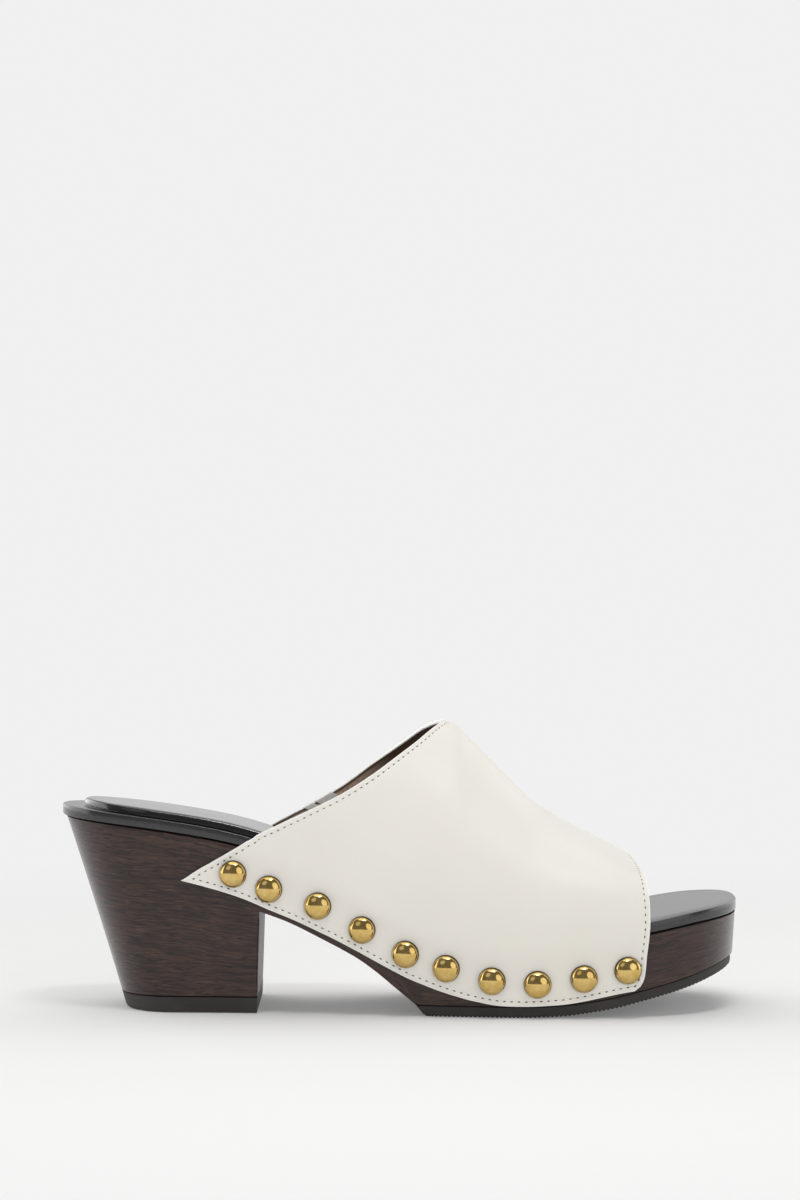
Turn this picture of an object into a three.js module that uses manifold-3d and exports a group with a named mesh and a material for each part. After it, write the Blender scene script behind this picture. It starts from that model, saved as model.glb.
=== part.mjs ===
// A right shoe: an open-toed clog mule with a one-piece leather upper, nailed by two rows of domed
// studs to a platform and block heel. Millimetres, +X from heel to toe, +Y to the inner side of the
// foot, +Z up from the floor. Tables give a place as a share of the shoe's length, from 0 at the
// back of the heel to 1 at the toe tip. Their other columns are shares of the named sizes.
import * as THREE from "three";
import { mergeVertices } from "three/addons/utils/BufferGeometryUtils.js";
import Module from "manifold-3d";

const wasm = await Module();
wasm.setup();

// Overall sizes
const length = 240; // footbed board, heel back to toe tip
const heelWidth = 62; // footbed board across the heel seat
const waistWidth = 64; // across the arch
const ballWidth = 87; // across the ball of the foot
const heelHeight = 71.8; // floor to the top of the board at the back
const platformHeight = 28; // floor to the top of the board under the ball
const toeSpring = 10; // rise of the board's top from the ball to the toe tip
const treadSpring = 15.4; // rise of the sole's underside from the ball to the toe tip
const seam = 0.3; // clearance left where two pieces meet

// Footbed board
const boardThickness = 3.6;
const boardEdgeRadius = 0.4;
const boardOverhang = 0.3; // how far the board stands out past the unit below it

// Platform and heel unit
const draft = THREE.MathUtils.degToRad(3.8); // how its sides lean in towards the floor
const waistThickness = 24.7; // board top to underside where the arch meets the heel
const breastAt = 0.296; // front face of the heel
const breastLean = 1.1; // how far that face leans back at the floor
const heelBackInset = 1; // how much further in than the board its back starts
const heelBackLean = 18.2; // how far the heel's back comes forward from there to the floor

// Heel lift and outsole
const liftThickness = 5.5;
const liftEdgeRadius = 1;
const outsoleThickness = 3.3;
const outsoleInset = 0.7; // from the unit's lower edge
const outsoleEdgeRadius = 0.8;
const outsoleAt = 0.523; // rear end of the outsole
const outsoleBevel = 2.8; // slope of its rear end

// Padded insole
const padThickness = 2.1;
const padTilt = 1.2; // how much thicker its outer side is than its inner, over the heel's width
const padCrown = 0.1; // extra height along its middle
const padSideInset = 3; // from the board's edge
const padBackInset = 7.7;
const padFrontAt = 0.79;
const padRoll = 1.8; // how far its rolled edge reaches in
const padSquareness = 2.3; // power of the rolled edge's outline, where 2 is round

// Upper
const wall = 1.8; // leather and lining together
const instepHeight = 68.9; // inside height over the board at the top of the collar
const toeBoxHeight = 18; // inside height over the board at the toe opening
const sideDepth = 24; // how far the upper's lower edge hangs below the board's top
const ridgeShift = 5; // how far the instep's ridge lies to the inner side

// Studs
const studDiameter = 9.6;
const studHeight = 3.4;
const studRim = 0.5; // straight part of the head next to the leather
const shankDiameter = 2.2;
const shankLength = 9;
const shankPoint = 1.6;
const shankClearance = 0.3;

// Board outline before its ends are rounded: the width that a row follows, and each side's share.
const widths = [
  { at: 0.0, width: heelWidth, lateral: 0.492, medial: 0.484 },
  { at: 0.15, width: heelWidth, lateral: 0.5, medial: 0.492 },
  { at: 0.3, width: heelWidth, lateral: 0.524, medial: 0.476 },
  { at: 0.42, width: waistWidth, lateral: 0.547, medial: 0.445 },
  { at: 0.52, width: waistWidth, lateral: 0.594, medial: 0.484 },
  { at: 0.6, width: ballWidth, lateral: 0.471, medial: 0.414 },
  { at: 0.68, width: ballWidth, lateral: 0.494, medial: 0.471 },
  { at: 0.76, width: ballWidth, lateral: 0.492, medial: 0.503 },
  { at: 0.84, width: ballWidth, lateral: 0.483, medial: 0.516 },
  { at: 1.0, width: ballWidth, lateral: 0.483, medial: 0.516 },
];
const heelEnd = { reach: 0.135, power: 2.2 };
const toeEnd = {
  tip: 0.092, // the tip's place to the inner side, as a share of the ball width
  lateral: { reach: 0.22, power: 2.5 },
  medial: { reach: 0.16, power: 3 },
};

// Height of the board's top: the share of the heel's rise over the platform, and of the toe spring.
const footbed = [
  { at: 0.0, rise: 1.0, spring: 0 },
  { at: 0.058, rise: 0.968, spring: 0 },
  { at: 0.136, rise: 0.916, spring: 0 },
  { at: 0.24, rise: 0.822, spring: 0 },
  { at: 0.283, rise: 0.763, spring: 0 },
  { at: 0.333, rise: 0.669, spring: 0 },
  { at: 0.388, rise: 0.536, spring: 0 },
  { at: 0.438, rise: 0.388, spring: 0 },
  { at: 0.479, rise: 0.265, spring: 0 },
  { at: 0.521, rise: 0.148, spring: 0 },
  { at: 0.563, rise: 0.064, spring: 0 },
  { at: 0.604, rise: 0.018, spring: 0 },
  { at: 0.65, rise: 0, spring: 0 },
  { at: 0.729, rise: 0, spring: 0.09 },
  { at: 0.77, rise: 0, spring: 0.2 },
  { at: 0.858, rise: 0, spring: 0.495 },
  { at: 0.93, rise: 0, spring: 0.8 },
  { at: 1.0, rise: 0, spring: 1 },
];

// Underside of the outsole: the share of the tread's spring.
const tread = [
  { at: 0.0, lift: 0 },
  { at: 0.68, lift: 0 },
  { at: 0.736, lift: 0.037 },
  { at: 0.772, lift: 0.106 },
  { at: 0.809, lift: 0.2 },
  { at: 0.846, lift: 0.337 },
  { at: 0.923, lift: 0.63 },
  { at: 0.963, lift: 0.82 },
  { at: 1.0, lift: 1 },
];

// Arch from the heel's front face to the outsole: the share of the fall, along the share of the way.
const arch = [
  { way: 0, fall: 0 },
  { way: 0.172, fall: 0.108 },
  { way: 0.401, fall: 0.296 },
  { way: 0.628, fall: 0.503 },
  { way: 0.742, fall: 0.64 },
  { way: 0.853, fall: 0.795 },
  { way: 1, fall: 1 },
];

// Upper, section by section. `height` goes from 0, the toe box's height, to 1, the instep's, and is
// only a guide behind the collar. `side` is how far the wall stays upright and `crown` how far the
// top stays level, both as shares of the section. `edge` is the share of the side's depth at which
// the lower edge lies.
const sections = [
  { at: 0.181, height: 0.7, side: 0.62, crown: 0.52, edge: 0.825 },
  { at: 0.27, height: 0.76, side: 0.62, crown: 0.52, edge: 0.9 },
  { at: 0.32, height: 0.81, side: 0.6, crown: 0.52, edge: 0.948 },
  { at: 0.379, height: 0.865, side: 0.58, crown: 0.52, edge: 0.953 },
  { at: 0.433, height: 0.93, side: 0.56, crown: 0.5, edge: 0.932 },
  { at: 0.5, height: 0.975, side: 0.54, crown: 0.46, edge: 0.922 },
  { at: 0.542, height: 0.998, side: 0.53, crown: 0.43, edge: 0.91 },
  { at: 0.577, height: 0.984, side: 0.53, crown: 0.43, edge: 0.922 },
  { at: 0.605, height: 0.884, side: 0.54, crown: 0.44, edge: 0.945 },
  { at: 0.637, height: 0.743, side: 0.56, crown: 0.47, edge: 0.975 },
  { at: 0.67, height: 0.586, side: 0.58, crown: 0.51, edge: 0.99 },
  { at: 0.692, height: 0.483, side: 0.6, crown: 0.54, edge: 0.998 },
  { at: 0.724, height: 0.373, side: 0.63, crown: 0.58, edge: 1 },
  { at: 0.757, height: 0.269, side: 0.67, crown: 0.62, edge: 0.99 },
  { at: 0.789, height: 0.174, side: 0.71, crown: 0.66, edge: 0.965 },
  { at: 0.822, height: 0.074, side: 0.75, crown: 0.7, edge: 0.945 },
  { at: 0.844, height: 0, side: 0.78, crown: 0.72, edge: 0.943 },
  { at: 0.862, height: -0.03, side: 0.79, crown: 0.72, edge: 0.94 },
];

// Where the collar, on each side, and the toe opening cut the upper. Level 0 is its lower edge,
// `seatLevel` the board's top, and 1 the ridge.
const seatLevel = 0.3;
const cuts = [
  { level: 0, lateral: 0.183, medial: 0.183, toe: 0.836 },
  { level: 0.02, lateral: 0.19, medial: 0.19, toe: 0.845 },
  { level: 0.06, lateral: 0.202, medial: 0.203, toe: 0.8505 },
  { level: 0.15, lateral: 0.2335, medial: 0.236, toe: 0.853 },
  { level: 0.25, lateral: 0.2685, medial: 0.276, toe: 0.856 },
  { level: 0.3, lateral: 0.2865, medial: 0.297, toe: 0.857 },
  { level: 0.35, lateral: 0.322, medial: 0.3295, toe: 0.857 },
  { level: 0.4, lateral: 0.357, medial: 0.362, toe: 0.857 },
  { level: 0.5, lateral: 0.417, medial: 0.415, toe: 0.856 },
  { level: 0.6, lateral: 0.463, medial: 0.456, toe: 0.855 },
  { level: 0.7, lateral: 0.5, medial: 0.4925, toe: 0.853 },
  { level: 0.8, lateral: 0.532, medial: 0.5225, toe: 0.85 },
  { level: 0.9, lateral: 0.553, medial: 0.547, toe: 0.847 },
  { level: 0.96, lateral: 0.561, medial: 0.557, toe: 0.845 },
  { level: 1, lateral: 0.5635, medial: 0.5635, toe: 0.844 },
];

// Studs of each row, from the collar's point to the toe: their place, and their height over the
// upper's lower edge as a share of the side's depth.
const studs = [
  { at: 0.259, height: 0.312 },
  { at: 0.311, height: 0.304 },
  { at: 0.382, height: 0.371 },
  { at: 0.446, height: 0.354 },
  { at: 0.5085, height: 0.339 },
  { at: 0.567, height: 0.363 },
  { at: 0.632, height: 0.348 },
  { at: 0.6965, height: 0.32 },
  { at: 0.763, height: 0.33 },
  { at: 0.8255, height: 0.321 },
];

// How finely each piece is divided
const outlineSteps = 40; // along each side of the board
const heelSteps = 16; // along the heel
const platformSteps = 28; // from the heel's front face to the toe
const outsoleSteps = 22;
const padSteps = 26;
const padAcross = 4;
const padRollSteps = 5;
const hoopSteps = 26; // of the upper, from collar to toe opening
const wallLevels = [0, 0.07, 0.2, 0.45, 0.72, 1]; // of the upper, up the unit's side
const vampSteps = 10; // of the upper, from the board to the ridge
const studSides = 10;
const studArcSteps = 2;
const holeSides = 6;

const materials = {
  leather: new THREE.MeshStandardMaterial({ color: 0xece9e1, roughness: 0.5 }),
  wood: new THREE.MeshStandardMaterial({ color: 0x3f302b, roughness: 0.45 }),
  board: new THREE.MeshStandardMaterial({ color: 0x3a393b, roughness: 0.5 }),
  rubber: new THREE.MeshStandardMaterial({ color: 0x2a2828, roughness: 0.7 }),
  pad: new THREE.MeshStandardMaterial({ color: 0x232325, roughness: 0.3 }),
  brass: new THREE.MeshStandardMaterial({ color: 0xb98f3a, roughness: 0.25, metalness: 1 }),
};

const mix = THREE.MathUtils.lerp;
const steps = (count, from = 0, to = 1) =>
  Array.from({ length: count + 1 }, (_, i) => mix(from, to, i / count));

// A smooth curve through one column of a table, which never overshoots its rows.
function curve(rows, column, by = "at") {
  const at = rows.map((row) => row[by]);
  const value = rows.map((row) => row[column]);
  const slope = at.slice(1).map((end, i) => (value[i + 1] - value[i]) / (end - at[i]));
  const tangent = value.map((_, i) => {
    if (i === 0) return slope[0];
    if (i === slope.length) return slope[i - 1];
    const [before, after] = [slope[i - 1], slope[i]];
    if (before * after <= 0) return 0;
    const [back, ahead] = [at[i] - at[i - 1], at[i + 1] - at[i]];
    return (3 * (back + ahead)) / ((2 * ahead + back) / before + (ahead + 2 * back) / after);
  });
  return (place) => {
    const clamped = THREE.MathUtils.clamp(place, at[0], at.at(-1));
    const i = Math.max(0, at.findIndex((end) => end >= clamped) - 1);
    const span = at[i + 1] - at[i];
    const t = (clamped - at[i]) / span;
    const pull = (1 - t) * (tangent[i] - slope[i]) - t * (tangent[i + 1] - slope[i]);
    return mix(value[i], value[i + 1], t) + span * t * (1 - t) * pull;
  };
}

const lateral = { name: "lateral", sign: -1 };
const medial = { name: "medial", sign: 1 };
for (const side of [lateral, medial]) {
  const rows = widths.map((row) => ({ at: row.at, reach: row.width * row[side.name] }));
  side.reach = curve(rows, "reach");
}
for (const side of [lateral, medial]) side.collarAt = curve(cuts, side.name, "level");
lateral.other = medial;
medial.other = lateral;

const rise = curve(footbed, "rise");
const spring = curve(footbed, "spring");
const treadLift = curve(tread, "lift");
const archFall = curve(arch, "fall", "way");
const toeAt = curve(cuts, "toe", "level");
const section = {
  height: curve(sections, "height"),
  side: curve(sections, "side"),
  crown: curve(sections, "crown"),
  edge: curve(sections, "edge"),
};

const boardTop = (at) =>
  platformHeight + rise(at) * (heelHeight - platformHeight) + spring(at) * toeSpring;
const unitTop = (at) => boardTop(at) - boardThickness - seam;
const treadHeight = (at) => treadLift(at) * treadSpring;
const outsoleTop = (at) => treadHeight(at) + outsoleThickness;
const breastTop = boardTop(breastAt) - waistThickness;

// The platform's underside, which goes on level through the heel.
function underside(at) {
  if (at <= breastAt) return breastTop;
  if (at >= outsoleAt) return outsoleTop(at) + seam;
  const way = (at - breastAt) / (outsoleAt - breastAt);
  return mix(breastTop, outsoleTop(outsoleAt) + seam, archFall(way));
}

// How far the board's edge lies to one side, with its ends rounded.
function boardEdge(side, at) {
  const round = (u, power) => (1 - u ** power) ** (1 / power);
  const full = side.sign * side.reach(at);
  const toe = toeEnd[side.name];
  if (at < heelEnd.reach) return full * round(1 - at / heelEnd.reach, heelEnd.power);
  if (at <= 1 - toe.reach) return full;
  return mix(toeEnd.tip * ballWidth, full, round(1 - (1 - at) / toe.reach, toe.power));
}

// A station of the outline is an angle, from 0 at the heel to pi at the toe tip, so that equal
// steps lie closer together where the ends curve.
const shareOf = (angle) => (1 - Math.cos(angle)) / 2;
const angleOf = (at) => Math.acos(1 - 2 * at);

// A point of the board's outline, moved inwards square to the edge.
function outlinePoint(side, angle, inset) {
  const on = (station) => {
    const past = station < 0 || station > Math.PI;
    const share = shareOf(station);
    return new THREE.Vector2(share * length, boardEdge(past ? side.other : side, share));
  };
  const nudge = 0.01;
  const along = on(angle + nudge).sub(on(angle - nudge)).normalize();
  const inwards = new THREE.Vector2(along.y, -along.x).multiplyScalar(side.sign * inset);
  return on(angle).add(inwards);
}

// A point of the unit's side at a height. Its sides lean in, and the heel's back leans forward.
function unitPoint(side, angle, height, inset = 0) {
  const top = unitTop(shareOf(angle));
  const drop = top - height;
  const point = outlinePoint(side, angle, boardOverhang + drop * Math.tan(draft) + inset);
  const forward = Math.min(1, point.x / (breastAt * length));
  const lean = (heelBackInset + (heelBackLean * drop) / top) * (1 - forward);
  return new THREE.Vector3(point.x + lean, point.y, height);
}

// The same below the arch, where the heel's front face leans back.
function heelPoint(side, angle, height, inset = 0) {
  const point = unitPoint(side, angle, height, inset);
  point.x -= breastLean * (shareOf(angle) / breastAt) * (1 - height / breastTop);
  return point;
}

// The faces of one closed body, as grids of points that meet along their borders.
class Skin {
  corners = [];

  face(a, b, c) {
    const same = (p, q) => p.distanceToSquared(q) < 1e-8;
    if (same(a, b) || same(b, c) || same(c, a)) return;
    this.corners.push(a, b, c);
  }

  // The rows, and the points in each, turn anticlockwise as seen from outside, or clockwise.
  grid(rows, clockwise = false) {
    for (let i = 0; i + 1 < rows.length; i++) {
      for (let j = 0; j + 1 < rows[i].length; j++) {
        const [a, b] = [rows[i][j], rows[i][j + 1]];
        const [d, c] = [rows[i + 1][j], rows[i + 1][j + 1]];
        this.face(a, ...(clockwise ? [c, b] : [b, c]));
        this.face(a, ...(clockwise ? [d, c] : [c, d]));
      }
    }
  }

  geometry() {
    return mergeVertices(new THREE.BufferGeometry().setFromPoints(this.corners), 1e-4);
  }
}

// Rungs between two rails, from the lateral to the medial one.
const ladder = ([left, right], across = 1) =>
  left.map((start, i) => steps(across).map((t) => start.clone().lerp(right[i], t)));

// A body made of levels from its top down, each a pair of rails along its two sides.
function layeredBody(levels, across = 1, crown = 0) {
  const skin = new Skin();
  const floors = levels.map((rails) => ladder(rails, across));
  for (const rung of floors[0]) {
    const width = rung[0].distanceTo(rung[across]);
    rung.forEach((point, j) => {
      const t = j / across;
      point.z += (crown * 4 * t * (1 - t) * width) / heelWidth;
    });
  }
  skin.grid(floors[0], true);
  skin.grid(floors.at(-1));
  skin.grid(levels.map(([left]) => left), true);
  skin.grid(levels.map(([, right]) => right));
  skin.grid(floors.map((floor) => floor[0]));
  skin.grid(floors.map((floor) => floor.at(-1)), true);
  return skin.geometry();
}

const bothSides = (rail) => [rail(lateral), rail(medial)];

function footbedBoard() {
  const stations = steps(outlineSteps, 0, Math.PI);
  const level = (drop, inset) =>
    bothSides((side) =>
      stations.map((angle) => {
        const { x, y } = outlinePoint(side, angle, inset);
        return new THREE.Vector3(x, y, boardTop(shareOf(angle)) - drop);
      }),
    );
  return layeredBody([
    level(0, boardEdgeRadius),
    level(boardEdgeRadius, 0),
    level(boardThickness - boardEdgeRadius, 0),
    level(boardThickness, boardEdgeRadius),
  ]);
}

// The heel and the platform are one moulding.
function platformHeelUnit() {
  const skin = new Skin();
  const heel = steps(heelSteps, 0, angleOf(breastAt));
  const platform = steps(platformSteps, angleOf(breastAt), Math.PI);
  const rails = (stations, height) =>
    bothSides((side) =>
      stations.map((angle) => unitPoint(side, angle, height(shareOf(angle)))),
    );
  const heelBase = bothSides((side) =>
    heel.map((angle) => heelPoint(side, angle, liftThickness + seam)),
  );
  const heelWaist = rails(heel, underside);
  const arched = rails(platform, underside);
  for (const stations of [heel, platform]) {
    const top = rails(stations, unitTop);
    const lower = rails(stations, underside);
    skin.grid(ladder(top), true);
    skin.grid([top[0], lower[0]], true);
    skin.grid([top[1], lower[1]]);
  }
  skin.grid([heelWaist[0], heelBase[0]], true);
  skin.grid([heelWaist[1], heelBase[1]]);
  skin.grid(ladder(heelBase));
  skin.grid(ladder(arched));
  skin.grid([heelWaist, heelBase].map((level) => level.map((rail) => rail.at(-1))), true);
  return skin.geometry();
}

function heelTopLift() {
  const stations = steps(heelSteps, 0, angleOf(breastAt));
  const level = (height, inset) =>
    bothSides((side) => stations.map((angle) => heelPoint(side, angle, height, inset)));
  return layeredBody([
    level(liftThickness, 0),
    level(liftEdgeRadius, 0),
    level(0, liftEdgeRadius),
  ]);
}

function forepartOutsole() {
  const level = (height, inset, setBack) => {
    const stations = steps(outsoleSteps, angleOf(outsoleAt + setBack / length), Math.PI);
    return bothSides((side) =>
      stations.map((angle) => {
        const floor = treadHeight(shareOf(angle));
        const point = unitPoint(side, angle, floor + outsoleThickness, outsoleInset + inset);
        return point.setZ(floor + height);
      }),
    );
  };
  return layeredBody([
    level(outsoleThickness, 0, 0),
    level(outsoleEdgeRadius, 0, outsoleBevel),
    level(0, outsoleEdgeRadius, outsoleBevel + outsoleEdgeRadius),
  ]);
}

function insolePad() {
  const stations = steps(padSteps, 0, angleOf(padFrontAt));
  const level = (rise, inset) =>
    bothSides((side) =>
      stations.map((angle) => {
        const share = shareOf(angle);
        const around = Math.min(1, share / heelEnd.reach);
        const margin = mix(padBackInset, padSideInset, around);
        const { x, y } = outlinePoint(side, angle, margin + inset);
        const height = rise * (padThickness - (padTilt * y) / heelWidth);
        return new THREE.Vector3(x, y, boardTop(share) + seam + height);
      }),
    );
  const rolled = steps(padRollSteps, Math.PI / 2, 0).map((turn) => {
    const [across, up] = [Math.cos(turn), Math.sin(turn)].map((way) => way ** (2 / padSquareness));
    return level(up, padRoll * (1 - across));
  });
  return layeredBody(rolled, padAcross, padCrown);
}

// A point inside the upper at a level of its section.
function liningPoint(side, at, level) {
  const top = boardTop(at);
  const angle = angleOf(at);
  if (level < seatLevel) {
    const drop = (1 - level / seatLevel) * section.edge(at) * sideDepth;
    const tucked = THREE.MathUtils.smoothstep(drop, boardThickness, 3 * boardThickness);
    const lean = Math.max(0, drop - boardThickness) * Math.tan(draft);
    const { x, y } = outlinePoint(side, angle, tucked * boardOverhang + lean - seam);
    return new THREE.Vector3(x, y, top - drop);
  }
  const foot = outlinePoint(side, angle, -seam);
  const t = (level - seatLevel) / (1 - seatLevel);
  const height = mix(toeBoxHeight, instepHeight, section.height(at));
  const shoulder = mix(ridgeShift, foot.y, section.crown(at));
  const rib = new THREE.CubicBezierCurve3(
    new THREE.Vector3(foot.x, foot.y, top),
    new THREE.Vector3(foot.x, foot.y, top + section.side(at) * height),
    new THREE.Vector3(at * length, shoulder, top + height),
    new THREE.Vector3(at * length, ridgeShift, top + height),
  );
  return rib.getPoint(t);
}

// The way out of the leather at a place.
function leatherNormal(side, at, level) {
  const nudge = 1e-4;
  const near = (da, dl) => liningPoint(side, at + da, level + dl);
  const along = near(nudge, 0).sub(near(-nudge, 0));
  const up = near(0, nudge).sub(near(0, -nudge));
  return along.cross(up).multiplyScalar(-side.sign).normalize();
}

const leatherPoint = (side, at, level) =>
  liningPoint(side, at, level).addScaledVector(leatherNormal(side, at, level), wall);

// One wall from the lateral lower edge over the ridge to the medial one, and from collar to toe.
function upper() {
  const rising = [
    ...wallLevels.map((share) => share * seatLevel),
    ...steps(vampSteps, seatLevel, 1).slice(1),
  ];
  const columns = [
    ...rising.map((level) => ({ side: lateral, level })),
    ...rising.toReversed().slice(1).map((level) => ({ side: medial, level })),
  ];
  const sheet = (point) =>
    steps(hoopSteps).map((way) =>
      columns.map(({ side, level }) =>
        point(side, mix(side.collarAt(level), toeAt(level), way), level),
      ),
    );
  const [outside, inside] = [sheet(leatherPoint), sheet(liningPoint)];
  const skin = new Skin();
  skin.grid(outside, true);
  skin.grid(inside);
  skin.grid([outside[0], inside[0]]);
  skin.grid([outside.at(-1), inside.at(-1)], true);
  skin.grid([outside, inside].map((rows) => rows.map((row) => row[0])), true);
  skin.grid([outside, inside].map((rows) => rows.map((row) => row.at(-1))));
  return skin.geometry();
}

// Domed head on a nail, standing on the origin and pointing down.
function studShape() {
  const [radius, shank] = [studDiameter / 2, shankDiameter / 2];
  const dome = steps(studArcSteps, 0, Math.PI / 2).map(
    (turn) => new THREE.Vector2(radius * Math.cos(turn), studRim + studHeight * Math.sin(turn)),
  );
  dome.at(-1).x = 0;
  const profile = [
    new THREE.Vector2(0, -shankLength),
    new THREE.Vector2(shank, shankPoint - shankLength),
    new THREE.Vector2(shank, 0),
    new THREE.Vector2(radius, 0),
    ...dome,
  ];
  const turned = new THREE.LatheGeometry(profile, studSides);
  turned.deleteAttribute("normal");
  turned.deleteAttribute("uv");
  return mergeVertices(turned, 1e-4);
}

// Where each stud stands on the leather, and the way its head faces.
const studPlaces = [lateral, medial].flatMap((side) =>
  studs.map(({ at, height }, i) => {
    const level = (seatLevel * height) / section.edge(at);
    const facing = leatherNormal(side, at, level);
    const seat = leatherPoint(side, at, level).addScaledVector(facing, seam);
    const turn = new THREE.Quaternion().setFromUnitVectors(new THREE.Vector3(0, 1, 0), facing);
    const name = `stud_${side.name}_${String(i + 1).padStart(2, "0")}`;
    return { name, seat, turn };
  }),
);

// Turns between a mesh and a solid that can be cut.
function toSolid(geometry) {
  geometry.deleteAttribute("normal");
  geometry.deleteAttribute("uv");
  const merged = mergeVertices(geometry, 1e-4);
  const vertProperties = merged.attributes.position.array;
  const triVerts = new Uint32Array(merged.index.array);
  return new wasm.Manifold(new wasm.Mesh({ numProp: 3, vertProperties, triVerts }));
}

function toGeometry(solid) {
  const { numProp, vertProperties, triVerts } = solid.getMesh();
  const points = [];
  for (let i = 0; i < vertProperties.length; i += numProp) {
    points.push(new THREE.Vector3(...vertProperties.subarray(i, i + 3)));
  }
  return new THREE.BufferGeometry().setFromPoints(points).setIndex([...triVerts]);
}

// Bores the nail holes of all the studs through a piece.
function nailed(geometry) {
  const depth = shankLength + shankClearance;
  const above = 2 * seam;
  const radius = shankDiameter / 2 + shankClearance;
  let solid = toSolid(geometry);
  for (const { seat, turn } of studPlaces) {
    const drill = new THREE.CylinderGeometry(radius, radius, depth + above, holeSides);
    drill.translate(0, (above - depth) / 2, 0);
    drill.applyQuaternion(turn);
    drill.translate(seat.x, seat.y, seat.z);
    solid = solid.subtract(toSolid(drill));
  }
  return toGeometry(solid);
}

const shoe = new THREE.Group();
function add(name, geometry, material) {
  const mesh = new THREE.Mesh(geometry, material);
  mesh.name = name;
  shoe.add(mesh);
  return mesh;
}

add("upper", nailed(upper()), materials.leather);
add("platform_heel_unit", nailed(platformHeelUnit()), materials.wood);
add("footbed_board", footbedBoard(), materials.board);
add("insole_pad", insolePad(), materials.pad);
add("forepart_outsole", forepartOutsole(), materials.rubber);
add("heel_top_lift", heelTopLift(), materials.rubber);
for (const { name, seat, turn } of studPlaces) {
  const stud = add(name, studShape(), materials.brass);
  stud.position.copy(seat);
  stud.quaternion.copy(turn);
}

// The origin is on the floor under the middle of the shoe.
const middle = new THREE.Box3().setFromObject(shoe).getCenter(new THREE.Vector3());
shoe.position.set(-middle.x, -middle.y, 0);

export default shoe;
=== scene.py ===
import math

import bmesh
import bpy
import numpy as np
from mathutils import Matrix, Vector


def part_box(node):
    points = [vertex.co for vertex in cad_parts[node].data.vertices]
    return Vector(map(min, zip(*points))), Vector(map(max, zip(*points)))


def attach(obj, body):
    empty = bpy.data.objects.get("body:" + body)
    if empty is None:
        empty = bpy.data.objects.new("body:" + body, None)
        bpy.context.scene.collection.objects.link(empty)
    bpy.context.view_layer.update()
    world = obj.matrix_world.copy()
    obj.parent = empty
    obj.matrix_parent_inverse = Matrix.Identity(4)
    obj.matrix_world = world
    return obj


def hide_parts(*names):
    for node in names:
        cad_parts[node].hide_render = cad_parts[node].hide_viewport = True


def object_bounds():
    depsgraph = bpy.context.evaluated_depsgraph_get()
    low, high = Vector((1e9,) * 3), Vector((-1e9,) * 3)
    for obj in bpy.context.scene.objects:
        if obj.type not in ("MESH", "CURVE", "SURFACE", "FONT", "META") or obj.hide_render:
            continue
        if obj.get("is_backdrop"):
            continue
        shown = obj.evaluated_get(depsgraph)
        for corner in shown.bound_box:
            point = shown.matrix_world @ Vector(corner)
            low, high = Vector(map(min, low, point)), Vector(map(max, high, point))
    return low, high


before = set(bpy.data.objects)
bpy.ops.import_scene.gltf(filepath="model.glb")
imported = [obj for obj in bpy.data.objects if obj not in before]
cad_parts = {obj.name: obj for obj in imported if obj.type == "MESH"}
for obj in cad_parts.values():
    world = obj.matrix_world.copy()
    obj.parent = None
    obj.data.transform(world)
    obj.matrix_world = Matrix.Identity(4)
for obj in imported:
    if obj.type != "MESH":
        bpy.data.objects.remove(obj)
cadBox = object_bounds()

mm = 0.001
scene = bpy.context.scene
print("Frame loaded:", len(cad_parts), "nodes")


# Small helpers

def linear(code):  # sRGB hex to a linear colour
    parts = [int(code[i:i + 2], 16) / 255 for i in (0, 2, 4)]
    return tuple(p / 12.92 if p <= 0.04045 else ((p + 0.055) / 1.055) ** 2.4 for p in parts) + (1,)


def addNode(tree, kind, inputs=None, **settings):  # adds a node with its settings and links
    made = tree.nodes.new(kind)
    for name, value in settings.items():
        setattr(made, name, value)
    for key, value in (inputs or {}).items():
        socket = made.inputs[key] if isinstance(key, int) else next(
            s for s in made.inputs if key in (s.identifier, s.name))
        if isinstance(value, bpy.types.Node):
            value = next(s for s in value.outputs if s.enabled)
        if isinstance(value, bpy.types.NodeSocket):
            tree.links.new(value, socket)
        else:
            socket.default_value = value
    return made


def mix(a, b, t):
    return a + (b - a) * t


def smooth(x, low, high):
    t = np.clip((x - low) / (high - low), 0, 1)
    return t * t * (3 - 2 * t)


def unitVector(v):
    return v / np.linalg.norm(v, axis=-1, keepdims=True)


def tableOf(columns, values):  # columns by name
    return dict(zip(columns.split(), np.array(values, float).T))


def curve(table, column, by="at"):  # smooth through a column, and never past its values
    at, value = table[by], table[column]
    slope = np.diff(value) / np.diff(at)
    tangent = np.concatenate([slope[:1], slope[1:] * 0, slope[-1:]])
    for i in range(1, len(slope)):
        before, after = slope[i - 1], slope[i]
        back, ahead = at[i] - at[i - 1], at[i + 1] - at[i]
        if before * after > 0:
            weights = (2 * ahead + back) / before + (ahead + 2 * back) / after
            tangent[i] = 3 * (back + ahead) / weights

    def read(place):
        clamped = np.clip(place, at[0], at[-1])
        i = np.clip(np.searchsorted(at, clamped) - 1, 0, len(slope) - 1)
        span = at[i + 1] - at[i]
        t = (clamped - at[i]) / span
        pull = (1 - t) * (tangent[i] - slope[i]) - t * (tangent[i + 1] - slope[i])
        return mix(value[i], value[i + 1], t) + span * t * (1 - t) * pull

    return read


# The last, in millimetres and degrees

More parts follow.
